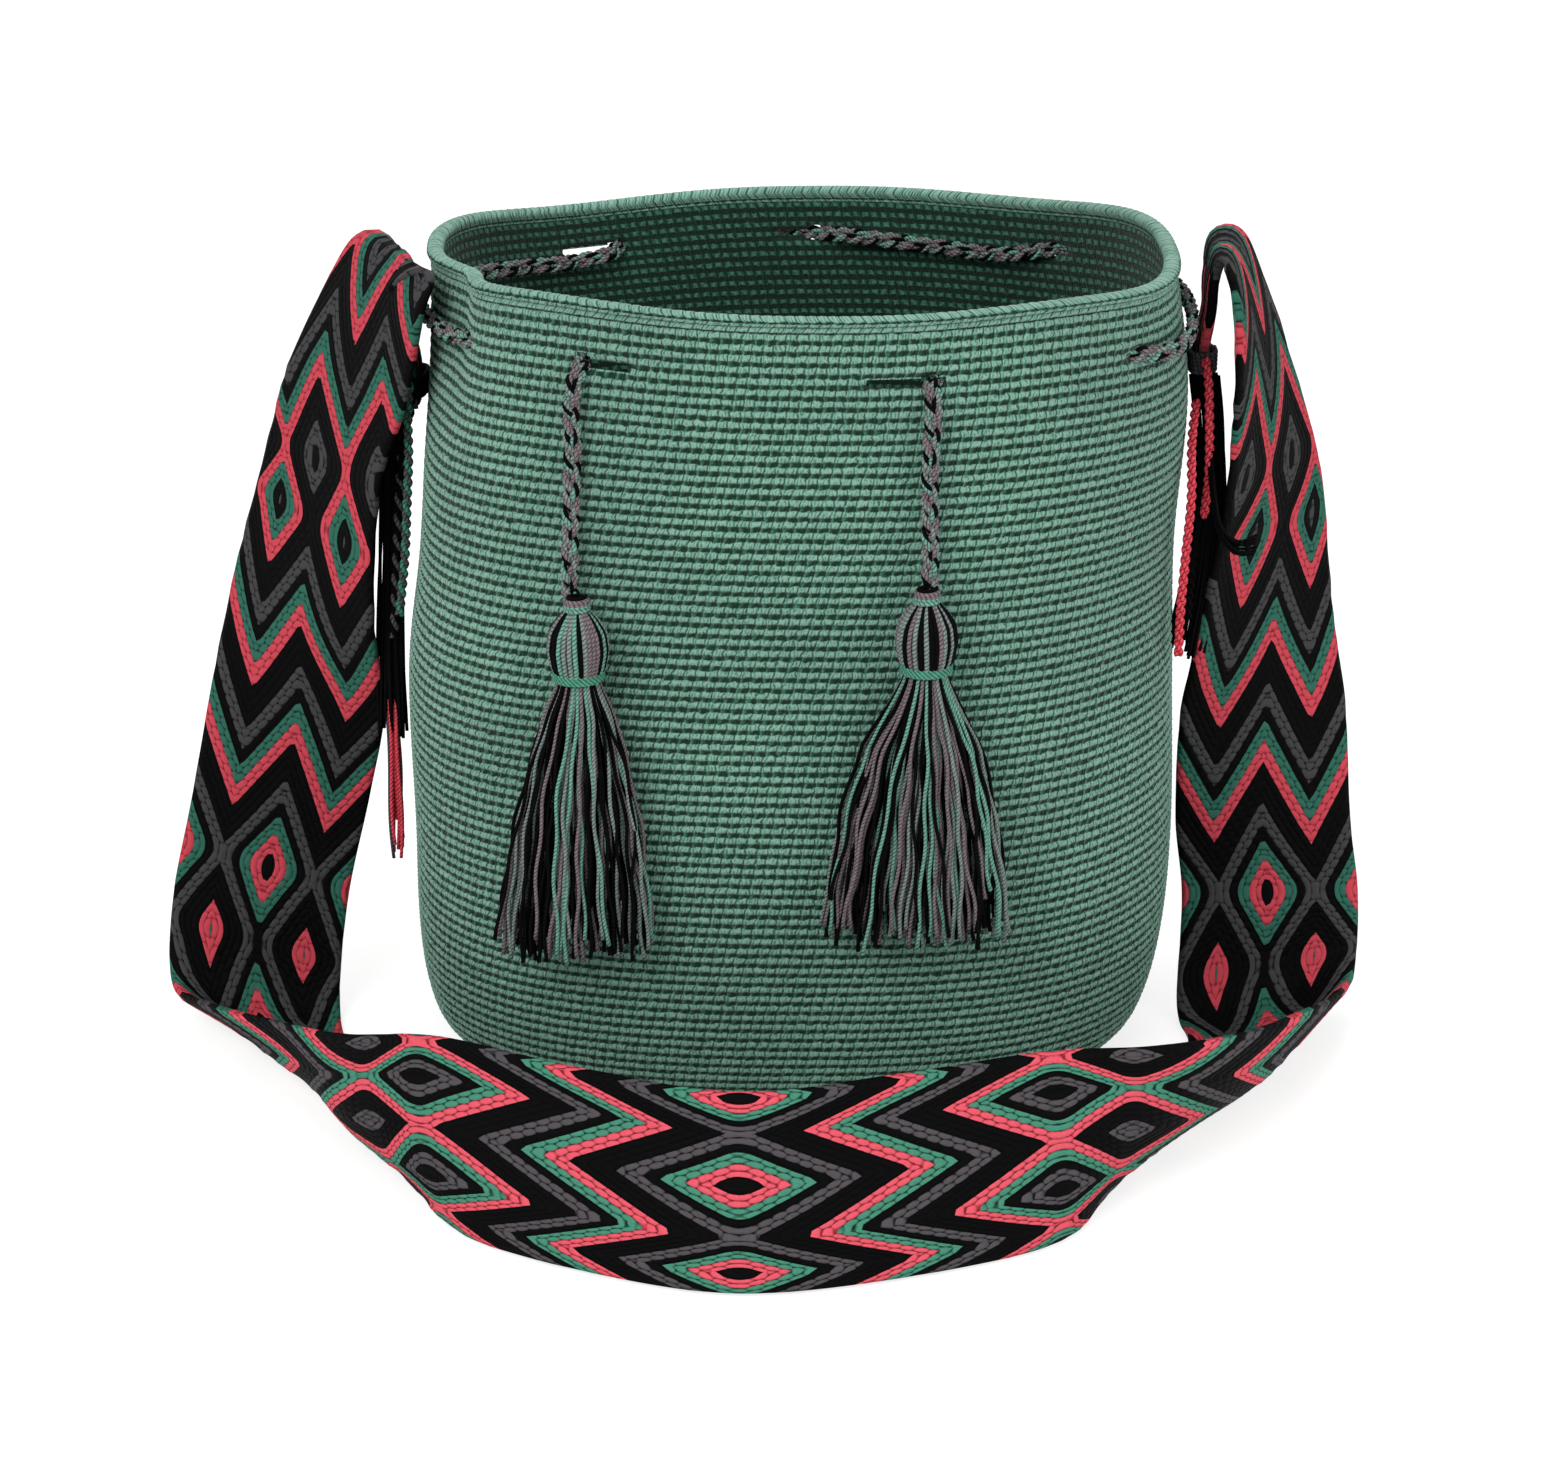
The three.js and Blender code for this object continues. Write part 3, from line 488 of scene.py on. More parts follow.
def plied_material(name, shades, plies, lay):
    """Twisted yarn. The pattern map gives the turn round the yarn and the millimetres along it, so plies
    wind round it with the given lay. Each ply is painted lighter along its crest, a painted highlight, and darker in
    the groove between plies, painted shade. shades are colours picked by the piece's shade attribute, from 0 to 1."""
    made, tree, shader = yarn_material(name, 0.8, 0.0, 0.06)
    uv = node(tree, "UVMap", uv_map="pattern")
    split = node(tree, "SeparateXYZ", [uv]).node.outputs
    wound = node(tree, "Math", (split[1], 1 / lay, split[0]), operation="MULTIPLY_ADD")
    wound = node(tree, "Math", (wound, float(plies)), operation="MULTIPLY")
    ply = node(tree, "Math", (wound, 0.5), operation="PINGPONG")
    groove_shade = node(tree, "MapRange", (ply, 0.22, 0.0), interpolation_type="SMOOTHSTEP")
    shade = node(tree, "Attribute", socket="Fac", attribute_name="shade")
    base = ramp(tree, shade, [(k / len(shades), code) for k, code in enumerate(shades)], "CONSTANT")
    fuzz = node(tree, "TexNoise", {"Vector": node(tree, "TexCoord", socket="Object"), "Scale": 600.0, "Detail": 2.0})
    depth = node(tree, "MapRange", (fuzz, 0.3, 0.7, 0.75, 1.05))
    # Painted shade in the grooves between plies and painted highlight on the ply crests.
    painted_shading = node(tree, "Math", (groove_shade, -0.75, depth), operation="MULTIPLY_ADD")
    painted_shading = node(tree, "Math", (ply, 0.7, painted_shading), operation="MULTIPLY_ADD")
    shaded = node(tree, "HueSaturation", {"Color": base, "Value": painted_shading})
    tree.links.new(shaded, shader.inputs["Base Color"])
    bump = node(tree, "Bump", {"Height": ply, "Distance": 0.0006, "Strength": 0.6})
    tree.links.new(bump, shader.inputs["Normal"])
    return made


MAUVE, STONE, TEAL, BLACK = "#766a6e", "#7a8783", "#6b9c8c", "#050406"
CORAL, GREEN, CHARCOAL, SEA = "#dc4a58", "#3a7761", "#4a4a4e", "#4f8d77"

crochet = crochet_material("acrylic_yarn_single_crochet", ["#86b09f", "#588b78", "#3a6b57", "#1c4a37", "#0a2c1d"])
# The inside's tones are darker than the outside's: painted shade for the inside of the bag, with more painted shade
# in the gaps between stitches.
shaded_crochet_back = crochet_material("acrylic_yarn_crochet_back_in_painted_shade", ["#4b806b", "#3a705b", "#285844", "#163f2e", "#0a261b"],
                                0.58, 0.9, 0.1, 0.8)
# The second list of tones of each band is painted shade for the corners between floats.
weave_face = weave_material("cotton_band_weave_face", 7.0, 0.9,
                            ["#545054", "#040405", "#e85c6b", "#4a8d75", "#040405"],
                            ["#09090b", "#010102", "#7c1f2a", "#0e3026", "#010102"])
weave_reverse = weave_material("cotton_band_weave_reverse", 11.0, 0.7,
                               ["#434345", "#040405", "#cb4956", "#33695a", "#040405"],
                               ["#0a0a0b", "#010102", "#7d1f2b", "#0e2c22", "#010102"])
tassel_yarn = plied_material("cotton_yarn_tassel", [MAUVE, STONE, TEAL, BLACK], 2, 3.0)
tie_yarn = plied_material("cotton_yarn_ties", [GREEN, CHARCOAL, BLACK, CORAL, SEA], 2, 3.4)
IN_MAUVE, IN_STONE, IN_TEAL, IN_BLACK = 0.125, 0.375, 0.625, 0.875
TIE_GREEN, TIE_CHARCOAL, TIE_BLACK, TIE_CORAL, TIE_SEA = 0.1, 0.3, 0.5, 0.7, 0.9

# Cords first: plaits and their free ends


def wall_route(route):
    """A cord's centreline through places given round the wall, in points a millimetre apart."""
    b, out, z = np.array(route, float).T
    return evened(spline(wall_point(b, z, out), np.linspace(0, 1, 3000), False), 1.0)


STRAND_RADIUS = 0.78
STRAND_LAY = 9
STRAND_TONES = [IN_STONE, IN_TEAL, IN_BLACK, IN_MAUVE, IN_STONE, IN_BLACK, IN_MAUVE, IN_MAUVE, IN_STONE]


def plait(path, places, reference, reach=1.85, depth=0.9, period=20.0):
    """Three strands plaited along a line: each swings from side to side by the sine of its phase, once a period, and
    dips twice in that time, a third of a period after the one before. A strand is three yarns that turn round each
    other, STRAND_RADIUS from its middle and once in STRAND_LAY."""
    run = unit(np.gradient(path, axis=0))
    side = unit(np.cross(run, np.asarray(reference, float)))
    up = np.cross(side, run)
    phase = 2 * np.pi * (places[None, :] / period + np.arange(3)[:, None] / 3)[:, None, :, None]
    twist = 2 * np.pi * (places[None, :] / STRAND_LAY + np.arange(3)[:, None] / 3)[None, :, :, None]
    sideways = reach * np.sin(phase) + STRAND_RADIUS * np.cos(twist)
    outward = depth * np.sin(2 * phase) + STRAND_RADIUS * np.sin(twist)
    yarns = (path + sideways * side + outward * up).reshape(9, len(path), 3)
    points, faces, uv = tubes(yarns, 0.8, 5, reference)
    return points, faces, uv, np.repeat(np.array(STRAND_TONES), len(path) * 5)


laced_path, laced_places = wall_route(LACED_ROUTE)
points, faces, uv, shade = plait(laced_path, laced_places, laced_path * (1.0, 1.0, 0.0))
mesh_piece("drawstring_laced_run", points, faces, tassel_yarn, uv, shade, ["drawstring"])

cord_ends = {}
for side, route in (("left", LEFT_END_ROUTE), ("right", RIGHT_END_ROUTE)):
    plan = next(t for t in TASSELS if t["side"] == side)
    hang, places = wall_route(route)
    x = wall_point(plan["bearing"], plan["tie"], 0)[0]
    y = wall_front(x, TASSEL_HEAD, plan["tie"])[0] - TASSEL_HEAD - TASSEL_GAP
    inside = np.array([[x, y, plan["top"] - 14], [x, y, plan["tie"] + 8], [x, y, plan["tie"] - 8]])
    path, places = evened(spline(np.concatenate([hang[::8], inside]), np.linspace(0, 1, 1500), False), 1.0)
    points, faces, uv, shade = plait(path, places, (0, 1, 0))
    name = "drawstring_" + side + "_end"
    end = mesh_piece(name, points, faces, tassel_yarn, uv, shade, ["drawstring"])
    cord_ends[side] = (end, path, places[-1])

# Bag: stitches in rounds

STITCHES = 208
ROUNDS = 79
TOP_ROUND = 304
SLANT = 0.2  # stitches that each round leans past the one below
STITCH_START = (0.08, 0.14)  # where a stitch of the mesh begins in a unit of the pattern map
HOLE_ROUND_CORD = 1.7  # how much wider than a slit's gap the hole for the cord is

heights = np.linspace(0, TOP_ROUND, 400)
climbed = np.concatenate([[0], np.cumsum(np.hypot(np.diff(along(HALF_WIDTH, heights)), np.diff(heights)))])
bearings = np.linspace(0, 360, 1441)
shares = lengths(wall_point(bearings, 150, 0))
shares = shares / shares[-1]


def height_of(rounds):
    """The height of a place counted in rounds up the wall's own curve."""
    return np.interp(rounds, climbed / climbed[-1] * ROUNDS, heights)


def bearing_of(stitch):
    """The bearing of a place counted in stitches round the wall, which are equally wide along its outline."""
    share = np.asarray(stitch, float) / STITCHES
    return np.interp(share % 1, shares, bearings) + 360 * np.floor(share)


def stitch_relief(across, up):
    """How far the yarn stands out in a stitch, from 0 to 1 each way: a ridge round its top, full in the middle,
    and a hollow at its lower right."""
    ridge = 0.4 * np.cos(2 * np.pi * (up - 0.74)) + 0.14 * np.cos(2 * np.pi * (across - 0.45))
    away_x = (across - 0.78 + 0.5) % 1 - 0.5
    away_y = (up - 0.26 + 0.5) % 1 - 0.5
    return ridge - 0.55 * np.exp(-((away_x / 0.28) ** 2) - (away_y / 0.2) ** 2)


def slit_distance(points):
    """How far points are from the nearest slit's line, or from the hole where the cord goes through."""
    found = np.full(points.shape[:-1], 99.0)
    for start, end, z in SLITS:
        a, b = wall_point(np.array([start, end]), z, MID)
        t = np.clip(((points - a) @ (b - a)) / ((b - a) @ (b - a)), 0, 1)
        found = np.minimum(found, np.linalg.norm(points - a - t[..., None] * (b - a), axis=-1))
    for bearing, out, z in LEFT_END_ROUTE[:1] + LACED_ROUTE:
        if out == MID:
            hole = wall_point(bearing, z, MID)
            found = np.minimum(found, np.linalg.norm(points - hole, axis=-1) - HOLE_ROUND_CORD)
    return found


def bag_piece(name, points, faces, material, uv):
    return mesh_piece(name, points.reshape(-1, 3), faces, material, uv, replaces=["bag_body"])


def wall_shell(name, low_round, high_round, inner, material, across_stitch=3, up_round=4):
    """A stretch of the wall in rounds of stitches. The rounds count up from the foot along the wall's own curve,
    and lean as the hook leaves them. Near a slit the outer and inner shells close in on the middle of the wall."""
    v = np.arange(low_round * up_round, high_round * up_round + 1) / up_round
    u = np.arange(STITCHES * across_stitch) / across_stitch
    z = height_of(v)[:, None]
    bearing = bearing_of(u[None, :] + SLANT * v[:, None])
    relief = stitch_relief((u[None, :] + STITCH_START[0]) % 1, (v[:, None] + STITCH_START[1]) % 1)
    settle = smoothstep(z, 0, 6)
    if inner:
        out = -WALL - 0.1 - 0.45 * relief
    else:
        out = (relief - 0.35) * settle - 0.5 * (1 - settle)
    middle = wall_point(bearing, z, MID)
    away = slit_distance(middle)
    out = MID + (out - MID) * smoothstep(away, 1.2, 3.6)
    points = wall_point(bearing, z, out)
    faces, rows, columns = quads(len(v), len(u))
    if inner:
        faces, rows, columns = faces[:, ::-1], rows[:, ::-1], columns[:, ::-1]
    uv = np.stack([columns / across_stitch + STITCH_START[0], rows / up_round + low_round + STITCH_START[1]], axis=-1)
    keep = away.reshape(-1)[faces].mean(axis=1) >= 1.5
    return bag_piece(name, points, [faces[keep]], material, uv[keep].reshape(-1, 2))


HALF_ROUND = 40
wall_shell("bag_wall_lower", 0, HALF_ROUND, False, crochet)
wall_shell("bag_wall_upper", HALF_ROUND, ROUNDS, False, crochet)
wall_shell("bag_inside_wall", 3, ROUNDS, True, shaded_crochet_back, 2, 2)

# The rim from the last round over the top and down inside: [height, distance out, place in the stitch pattern].
RIM = [
    [304.0, -0.4, 0.3], [304.4, 0.15, 0.55], [305.2, 0.35, 0.72], [305.9, -0.15, 0.95], [306.2, 0.35, 1.45],
    [306.9, 1.0, 1.7], [307.5, 1.15, 2.0], [307.9, 1.05, 2.25], [308.3, 1.1, 2.5], [309.1, 0.6, 2.65],
    [309.6, -0.4, 2.7], [309.8, -1.75, 2.72], [309.5, -3.1, 2.75], [308.8, -4.1, 2.8], [307.6, -4.6, 2.85],
    [306.4, -4.4, 2.9], [305.6, -3.7, 2.95], [304.8, -3.95, 3.5], [304.0, -3.6, 3.6],
]
CHAIN_MIDDLE = 307.8


def rim():
    """A smooth round, then a chain of stitches rolled over the top: its lobes slant away above and below the
    chain's middle line, so that each pair makes a V."""
    z, out, place = np.array(RIM).T
    u = np.arange(STITCHES * 6) / 6
    bearing = bearing_of(u + SLANT * ROUNDS)
    slanted = u[None, :] + 0.2 * np.abs(z - CHAIN_MIDDLE)[:, None]
    lobes = 0.85 * (np.abs(np.sin(np.pi * slanted)) - 0.55)
    chained = smoothstep(z, 305.8, 306.8)[:, None] * np.where(out > MID, 1, -1)[:, None]
    points = wall_point(bearing[None, :], z[:, None], out[:, None] + lobes * chained)
    faces, rows, columns = quads(len(z), len(u))
    uv = np.stack([columns / 6 + 0.2 * np.abs(z - CHAIN_MIDDLE)[rows], place[rows]], axis=-1)
    return bag_piece("bag_rim", points, [faces], crochet, uv.reshape(-1, 2))


def disc(name, z, out, rings, up, material):
    """Rounds of stitches from the foot of the wall to the middle, with fewer stitches in each."""
    share = np.linspace(1, 0.01, rings)
    bearing = bearing_of(np.arange(STITCHES))
    edge = wall_point(bearing, z, out)
    middle = np.array([LEAN[0][1], 0, 0])
    points = (edge[None] - middle) * share[:, None, None] + middle
    points[..., 2] = z + (0.25 * (np.arange(rings) % 2))[:, None] * (1 if up else 0)
    faces, rows, columns = quads(rings, STITCHES)
    if not up:
        faces, rows, columns = faces[:, ::-1], rows[:, ::-1], columns[:, ::-1]
    count = np.maximum(np.round(STITCHES * share), 6)
    uv = np.stack([columns / STITCHES * count[rows.min(axis=1)][:, None], rows + 0.0], axis=-1)
    centre = np.arange(STITCHES) + (rings - 1) * STITCHES
    last = centre if up else centre[::-1]
    uv = np.concatenate([uv.reshape(-1, 2), np.zeros((STITCHES, 2))])
    return bag_piece(name, points, [faces, last[None]], material, uv)


rim()
disc("bag_base", 0.0, -0.5, 30, False, crochet)


def inside_foot():
    """The inside of the foot: the inner wall's lowest round curves in to the floor."""
    z = np.array([height_of(3), 6.0, 4.2, 3.6, 3.5])
    out = np.array([-WALL - 0.1, -WALL - 3.0, -WALL - 6.5, -WALL - 10.0, -WALL - 11.0])
    bearing = bearing_of(np.arange(STITCHES * 2) / 2 + SLANT * 3)
    points = wall_point(bearing[None], z[:, None], out[:, None])
    faces, rows, columns = quads(len(z), len(bearing))
    uv = np.stack([columns / 2, 3.0 - rows], axis=-1)
    bag_piece("bag_inside_foot", points, [faces], shaded_crochet_back, uv.reshape(-1, 2))


inside_foot()
disc("bag_inside_floor", 3.5, -WALL - 11.0, 26, True, shaded_crochet_back)

# Shoulder strap

# Weave of the band by place along it, counted from the middle of the front: the repeats of the five stripes, how
# far the zigzag's points run ahead in repeats, where its middle line lies across the band, and how far the pattern
# is skewed in millimetres from edge to edge.
STRIPES = [(-1000, 15.9), (-520, 6.46), (-496, 6.98), (-349, 4.0), (-317, 4.67), (-143, 1.61), (-122, 2.3), (0, 0),
           (116, 2.28), (143, 1.61), (324, 4.67), (353, 4.0), (506, 7.02), (531, 6.46), (1000, 15.9)]
SWING = [(-370, 0.7), (-317, 0.78), (-120, 0.76), (120, 0.76), (317, 0.78), (370, 0.7)]
MIDDLE_LINE = [(-640, 0.0), (-600, 0.1), (-558, 0.27), (-521, 0.46), (-496, 0.52), (-350, 0.515), (-200, 0.5),
               (-110, 0.468), (110, 0.468), (200, 0.5), (350, 0.518), (420, 0.5), (470, 0.46), (505, 0.43),
               (531, 0.31), (567, 0.17), (640, 0.0)]
SKEW = [(-530, 0), (-496, 15), (-430, 20), (-360, 22), (-317, 16), (-300, 0)]
SIDE_QUARTER, FRONT_QUARTER = 0.275, 0.26  # the zigzag's height as a share of the band's width
SELVEDGE = 1.8  # millimetres in which the band thins to its edge


def weave_pattern(u, v):
    """The two numbers of the weave at each place: d, which counts repeats of the stripes, and t, which is 1 on the
    zigzag's middle line and falls to 0 and rises again on either side. In front, the outer points are closer."""
    front = 1 - smoothstep(np.abs(u), 150, 200)
    quarter = SIDE_QUARTER + (FRONT_QUARTER - SIDE_QUARTER) * front
    away = (v[None, :] - np.interp(u, *zip(*MIDDLE_LINE))[:, None]) / (2 * quarter[:, None])
    past = np.maximum(np.abs(away) - 0.5, 0)
    away = away + np.sign(away) * past * 0.5 * front[:, None]
    t = np.abs(2 * (away % 1) - 1)
    skewed = u[:, None] - np.interp(u, *zip(*SKEW))[:, None] * (v[None, :] - 0.545)
    counts = np.mean([np.interp(skewed + shift, *zip(*STRIPES)) for shift in (-4, -2, 0, 2, 4)], axis=0)
    return counts - np.interp(u, *zip(*SWING))[:, None] * t, t


def strap_grid(step=1.7, across=38):
    """The band's middle layer at places along it and across it, with its normal and the distance along from the
    middle of the front. A point lies between the two edges, pushed off the flat by the belly in a parabola."""
    t = np.linspace(0, 1, 6001)
    outer = spline([s[0] for s in STRAP], t)
    inner = spline([s[1] for s in STRAP], t)
    belly = spline([[s[2], 0, 0] for s in STRAP], t)[:, 0]
    middle = (outer + inner) / 2
    marks = lengths(middle)
    zero = np.interp(FRONT_STATION / (len(STRAP) - 1), t, marks)
    places = np.linspace(0, marks[-1], int(marks[-1] / step) + 1)
    a, b = (np.stack([np.interp(places, marks, line[:, k]) for k in range(3)], axis=1) for line in (outer, inner))
    deep = np.interp(places, marks, belly)
    v = np.linspace(0, 1, across + 1)
    run = unit(np.gradient(a, axis=0) + np.gradient(b, axis=0))
    bulge = unit(np.cross(b - a, run))
    points = a[:, None] + (b - a)[:, None] * v[None, :, None]
    points = points + bulge[:, None] * (deep[:, None] * 4 * v * (1 - v))[..., None]
    side = np.gradient(points, axis=1)
    ahead = np.gradient(points, axis=0)
    return points, unit(np.cross(side, ahead)), places - zero, v


def strap():
    """Two layers of the band, joined round its edges. The coloured stripes stand proud of the black ones."""
    middle, normal, u, v = strap_grid()
    d, t = weave_pattern(u, v)
    ridge = np.interp((d + 0.1) % 1, [0, 0.1, 0.22, 0.35, 0.48, 0.58, 0.7, 0.82, 0.95, 1],
                      [0, 0.3, -0.1, -0.3, -0.1, 0.3, 0.15, 0.3, -0.25, 0])
    edge = np.minimum(v, 1 - v)[None, :] * STRAP_WIDTH
    half = STRAP_THICKNESS / 2 * np.sqrt(np.clip(1 - (1 - np.minimum(edge / SELVEDGE, 1)) ** 2 * 0.75, 0, 1)) + ridge
    face = middle + normal * half[..., None]
    reverse = middle - normal * half[..., None]
    ring = np.concatenate([face, reverse[:, ::-1]], axis=1)
    ring[..., 2] = np.maximum(ring[..., 2], 0.15)
    ring_d = np.concatenate([d, d[:, ::-1]], axis=1)
    ring_t = np.concatenate([t, t[:, ::-1]], axis=1)
    rows_count, columns_count = ring.shape[:2]
    faces, rows, columns = quads(rows_count, columns_count)
    index = rows * columns_count + columns % columns_count
    uv = np.stack([ring_d.reshape(-1)[index], ring_t.reshape(-1)[index]], axis=-1).reshape(-1, 2)
    ends = np.stack([np.arange(columns_count)[::-1], np.arange(columns_count) + (rows_count - 1) * columns_count])
    uv = np.concatenate([uv, np.full((ends.size, 2), 0.25)])
    parts = np.concatenate([(columns.min(axis=1) >= len(v) - 1).astype(int), [0, 0]])
    return mesh_piece("woven_shoulder_strap", ring.reshape(-1, 3), [faces, ends], [weave_face, weave_reverse],
                      uv, replaces=["shoulder_strap"], parts=parts)


strap()

# Tassels

GOLDEN_ANGLE = 2.39996  # between yarns counted outwards in a disc, so that they fill it evenly
TASSEL_TONES = [IN_MAUVE, IN_STONE, IN_TEAL, IN_BLACK]
EGG_AT = [0, 0.12, 0.3, 0.55, 0.8, 0.95, 1]


def tassel(plan, count):
    """A bundle of yarns tied over the end of the cord. The head's yarns run down the outside of an egg from the neck
    to the tie. The skirt's yarns start packed in a disc inside the tie and spread as they fall, in front of the
    wall, each with its own slow wave, length and frayed end."""
    side, tie, hem = plan["side"], plan["tie"], plan["hem"]
    x = float(wall_point(plan["bearing"], tie, 0)[0])
    y = float(wall_front(x, TASSEL_HEAD, tie)[0]) - TASSEL_HEAD - TASSEL_GAP
    neck = tie + 2.15 * TASSEL_HEAD
    # Skirt.
    steps = 30
    s = np.linspace(0, 1, steps)[None, :]
    turn = np.arange(count) * GOLDEN_ANGLE
    rank = np.sqrt((np.arange(count) + 0.5) / count)[:, None]
    px, py = rank * np.cos(turn)[:, None], rank * np.sin(turn)[:, None]
    length = (tie - hem) * (0.95 + 0.11 * chance.random((count, 1)))
    length = length * np.where(chance.random((count, 1)) < 0.12, 0.86, 1)
    z = tie + 1.5 - length * s
    wide = [share * plan["spread"] for share in (0.6, 0.8, 0.95, 1)]
    half = np.interp(tie - z, [0, 4, 14, 30, 55, 85, 110], [6.6, 7.6, 12.5, *wide])
    deep = np.minimum(half, 9.5)
    levels = np.linspace(hem - 15, tie + 5, 40)
    level_half = np.interp(tie - levels, [-5, 4, 14, 30, 55, 85, 120], [8, 8, 12.5, *wide])
    wall = wall_front(np.full(40, x), level_half, levels)
    front = np.minimum(y, np.interp(z, levels, wall) - deep - TASSEL_GAP)
    sway = chance.normal(0, 1, (count, 4))
    wave_x = sway[:, :1] * 1.5 * np.sin(np.pi * s * (1 + sway[:, 1:2] * 0.35)) + sway[:, 1:2] * 2.2 * s**2
    wave_x = wave_x + 0.55 * np.sin(2 * np.pi * (3.2 * s + sway[:, 3:4]))
    wave_y = sway[:, 2:3] * 0.7 * np.sin(2 * np.pi * s + sway[:, 3:4])
    grow = smoothstep(s, 0.06, 0.4)
    paths = np.stack([
        x + plan["drift"] * s + px * half + wave_x * grow,
        front + py * deep + np.minimum(wave_y * grow, 0.6),
        z + 0 * px,
    ], axis=-1)
    thick = 0.72 * np.where(s > 0.985, 1.25, 1.0) + 0 * rank
    points, faces, uv = tubes(paths, thick, 5, (0, 1, 0))
    shade = chance.choice(TASSEL_TONES, count, p=[0.24, 0.22, 0.14, 0.4])
    skirt = mesh_piece(side + "_tassel_skirt", points, faces, tassel_yarn, uv,
                       np.repeat(shade, steps * 5), [side + "_tassel"])
    # Head.
    yarns, steps = 34, 16
    fall = np.linspace(0, 1, steps)[None, :]
    turn = (np.arange(yarns) * 2 * np.pi / yarns)[:, None]
    radius = np.interp(fall, EGG_AT, [3.6, 6.4, 9.4, 10.3, 9.2, 7.6, 7.0])
    head_z = neck + (tie - 1 - neck) * fall
    lean = 0.1 * np.sin(3 * turn) * fall
    turn = turn + lean
    paths = np.stack([x + radius * np.cos(turn), y + radius * np.sin(turn), head_z + 0 * turn], axis=-1)
    points, faces, uv = tubes(paths, 0.98, 6, (0.3, 1, 0.1))
    shade = chance.choice(TASSEL_TONES, yarns, p=[0.24, 0.3, 0.12, 0.34])
    shade = np.repeat(shade, steps * 6)
    # The head's core is black so the gaps between its yarns show dark: painted shade.
    fall = np.linspace(0, 1, 14)[None]
    core = np.stack([x + 0 * fall, y + 0 * fall, neck + (tie - 4 - neck) * fall], axis=-1)
    core = tubes(core, np.interp(fall, EGG_AT, [3.0, 5.8, 8.8, 9.7, 8.6, 7.0, 6.4]), 24, (0, 1, 0))
    p, f, w, sh = joined((points, faces, uv, shade), (*core, np.full(len(core[0]), IN_BLACK)))
    head = mesh_piece(side + "_tassel_head", p, f, tassel_yarn, w, sh,
                      [side + "_tassel"])
    # Tie round the bundle, and the wrap round the cord above it.
    wraps = []
    for low, high, r, turns, thick, tone in (
        (tie - 1.5, tie + 1.5, 8.8, 4, 0.62, TIE_SEA),
        (neck - 0.2, neck + 2.6, 4.0, 2, 0.85, IN_TEAL),
        (neck + 2.0, neck + 4.4, 3.9, 2, 0.85, IN_MAUVE),
        (neck + 4.2, plan["top"] - 0.6, 3.2, 1, 0.7, IN_BLACK),
    ):
        place = np.linspace(0, 1, int(26 * turns))
        bearing = 2 * np.pi * turns * place
        path = np.stack([x + r * np.cos(bearing), y + r * np.sin(bearing), low + (high - low) * place], axis=-1)
        wraps.append((*tubes(path[None], thick, 6, (0, 0, 1)), tone))
    wraps = [(a, b, c, np.full(len(a), tone)) for a, b, c, tone in wraps]
    p, f, w, sh = wraps[0]
    binding = mesh_piece(side + "_tassel_tie", p, f, tie_yarn, w, sh,
                         [side + "_tassel_binding"])
    p, f, w, sh = joined(*wraps[1:])
    wrap = mesh_piece(side + "_tassel_neck_wrap", p, f, tassel_yarn, w, sh,
                      [side + "_tassel_neck"])
    return [skirt, head, binding, wrap]


for plan in TASSELS:
    pieces = tassel(plan, 210)
    end, path, length = cord_ends[plan["side"]]

# Strap ends: lashings, twisted warp ends, fringe, loose yarns


def lashing(name, plan, shade, turns=5):
    """Yarn wound five times round the gathered end of the strap: a helix on a rounded oblong."""
    (x, y, z), half_width, half_depth = plan
    place = np.linspace(0, 1, turns * 30)
    turn = 2 * np.pi * turns * place
    straight = half_width - half_depth
    radius = half_depth + 1.0
    squared = np.tanh(3 * np.sin(turn)) / np.tanh(3)
    path = np.stack([x + radius * np.cos(turn), y + straight * squared + radius * np.sin(turn), z - 4 + 8 * place],
                    axis=-1)
    points, faces, uv = tubes(path[None], 0.95, 7, (0, 0, 1))
    return mesh_piece(name + "_yarn", points, faces, tie_yarn, uv, np.full(len(points), shade), [name])


lashing("left_strap_lashing", LASHINGS["left_strap_lashing"], TIE_BLACK)
lashing("right_strap_lashing", LASHINGS["right_strap_lashing"], TIE_CHARCOAL)


TWIST_RADIUS = 0.9


def twisted(name, points, tones, lay=8.0):
    """Two plies laid round each other along a hanging line: a pair of helices, half a turn apart."""
    path, places = evened(spline(points, np.linspace(0, 1, 800), False), 0.9)
    run = unit(np.gradient(path, axis=0))
    side = unit(np.cross(run, (1.0, 0.0, 0.0)))
    up = np.cross(side, run)
    phase = 2 * np.pi * (places / lay)[None, :, None] + np.array([0, np.pi])[:, None, None]
    plies = path + TWIST_RADIUS * (np.cos(phase) * side + np.sin(phase) * up)
    p, f, w = tubes(plies, 1.0, 7, (1, 0, 0))
    made = mesh_piece(name + "_yarn", p, f, tie_yarn, w, np.repeat(np.array(tones), len(path) * 7), [name])
    return made


for name, tones, slot in (
    ("left_green_end_cord", (TIE_GREEN, TIE_CHARCOAL), "end_green"),
    ("left_black_end_cord", (TIE_BLACK, TIE_CHARCOAL), "end_black"),
    ("right_coral_end_cord", (TIE_CORAL, TIE_CORAL), "end_coral"),
    ("right_black_end_cord", (TIE_BLACK, TIE_BLACK), "end_black"),
    ("right_long_coral_end_cord", (TIE_CORAL, TIE_CORAL), "end_coral"),
    ("right_long_black_end_cord", (TIE_BLACK, TIE_BLACK), "end_black"),
):
    twisted(name, END_CORDS[name], tones)


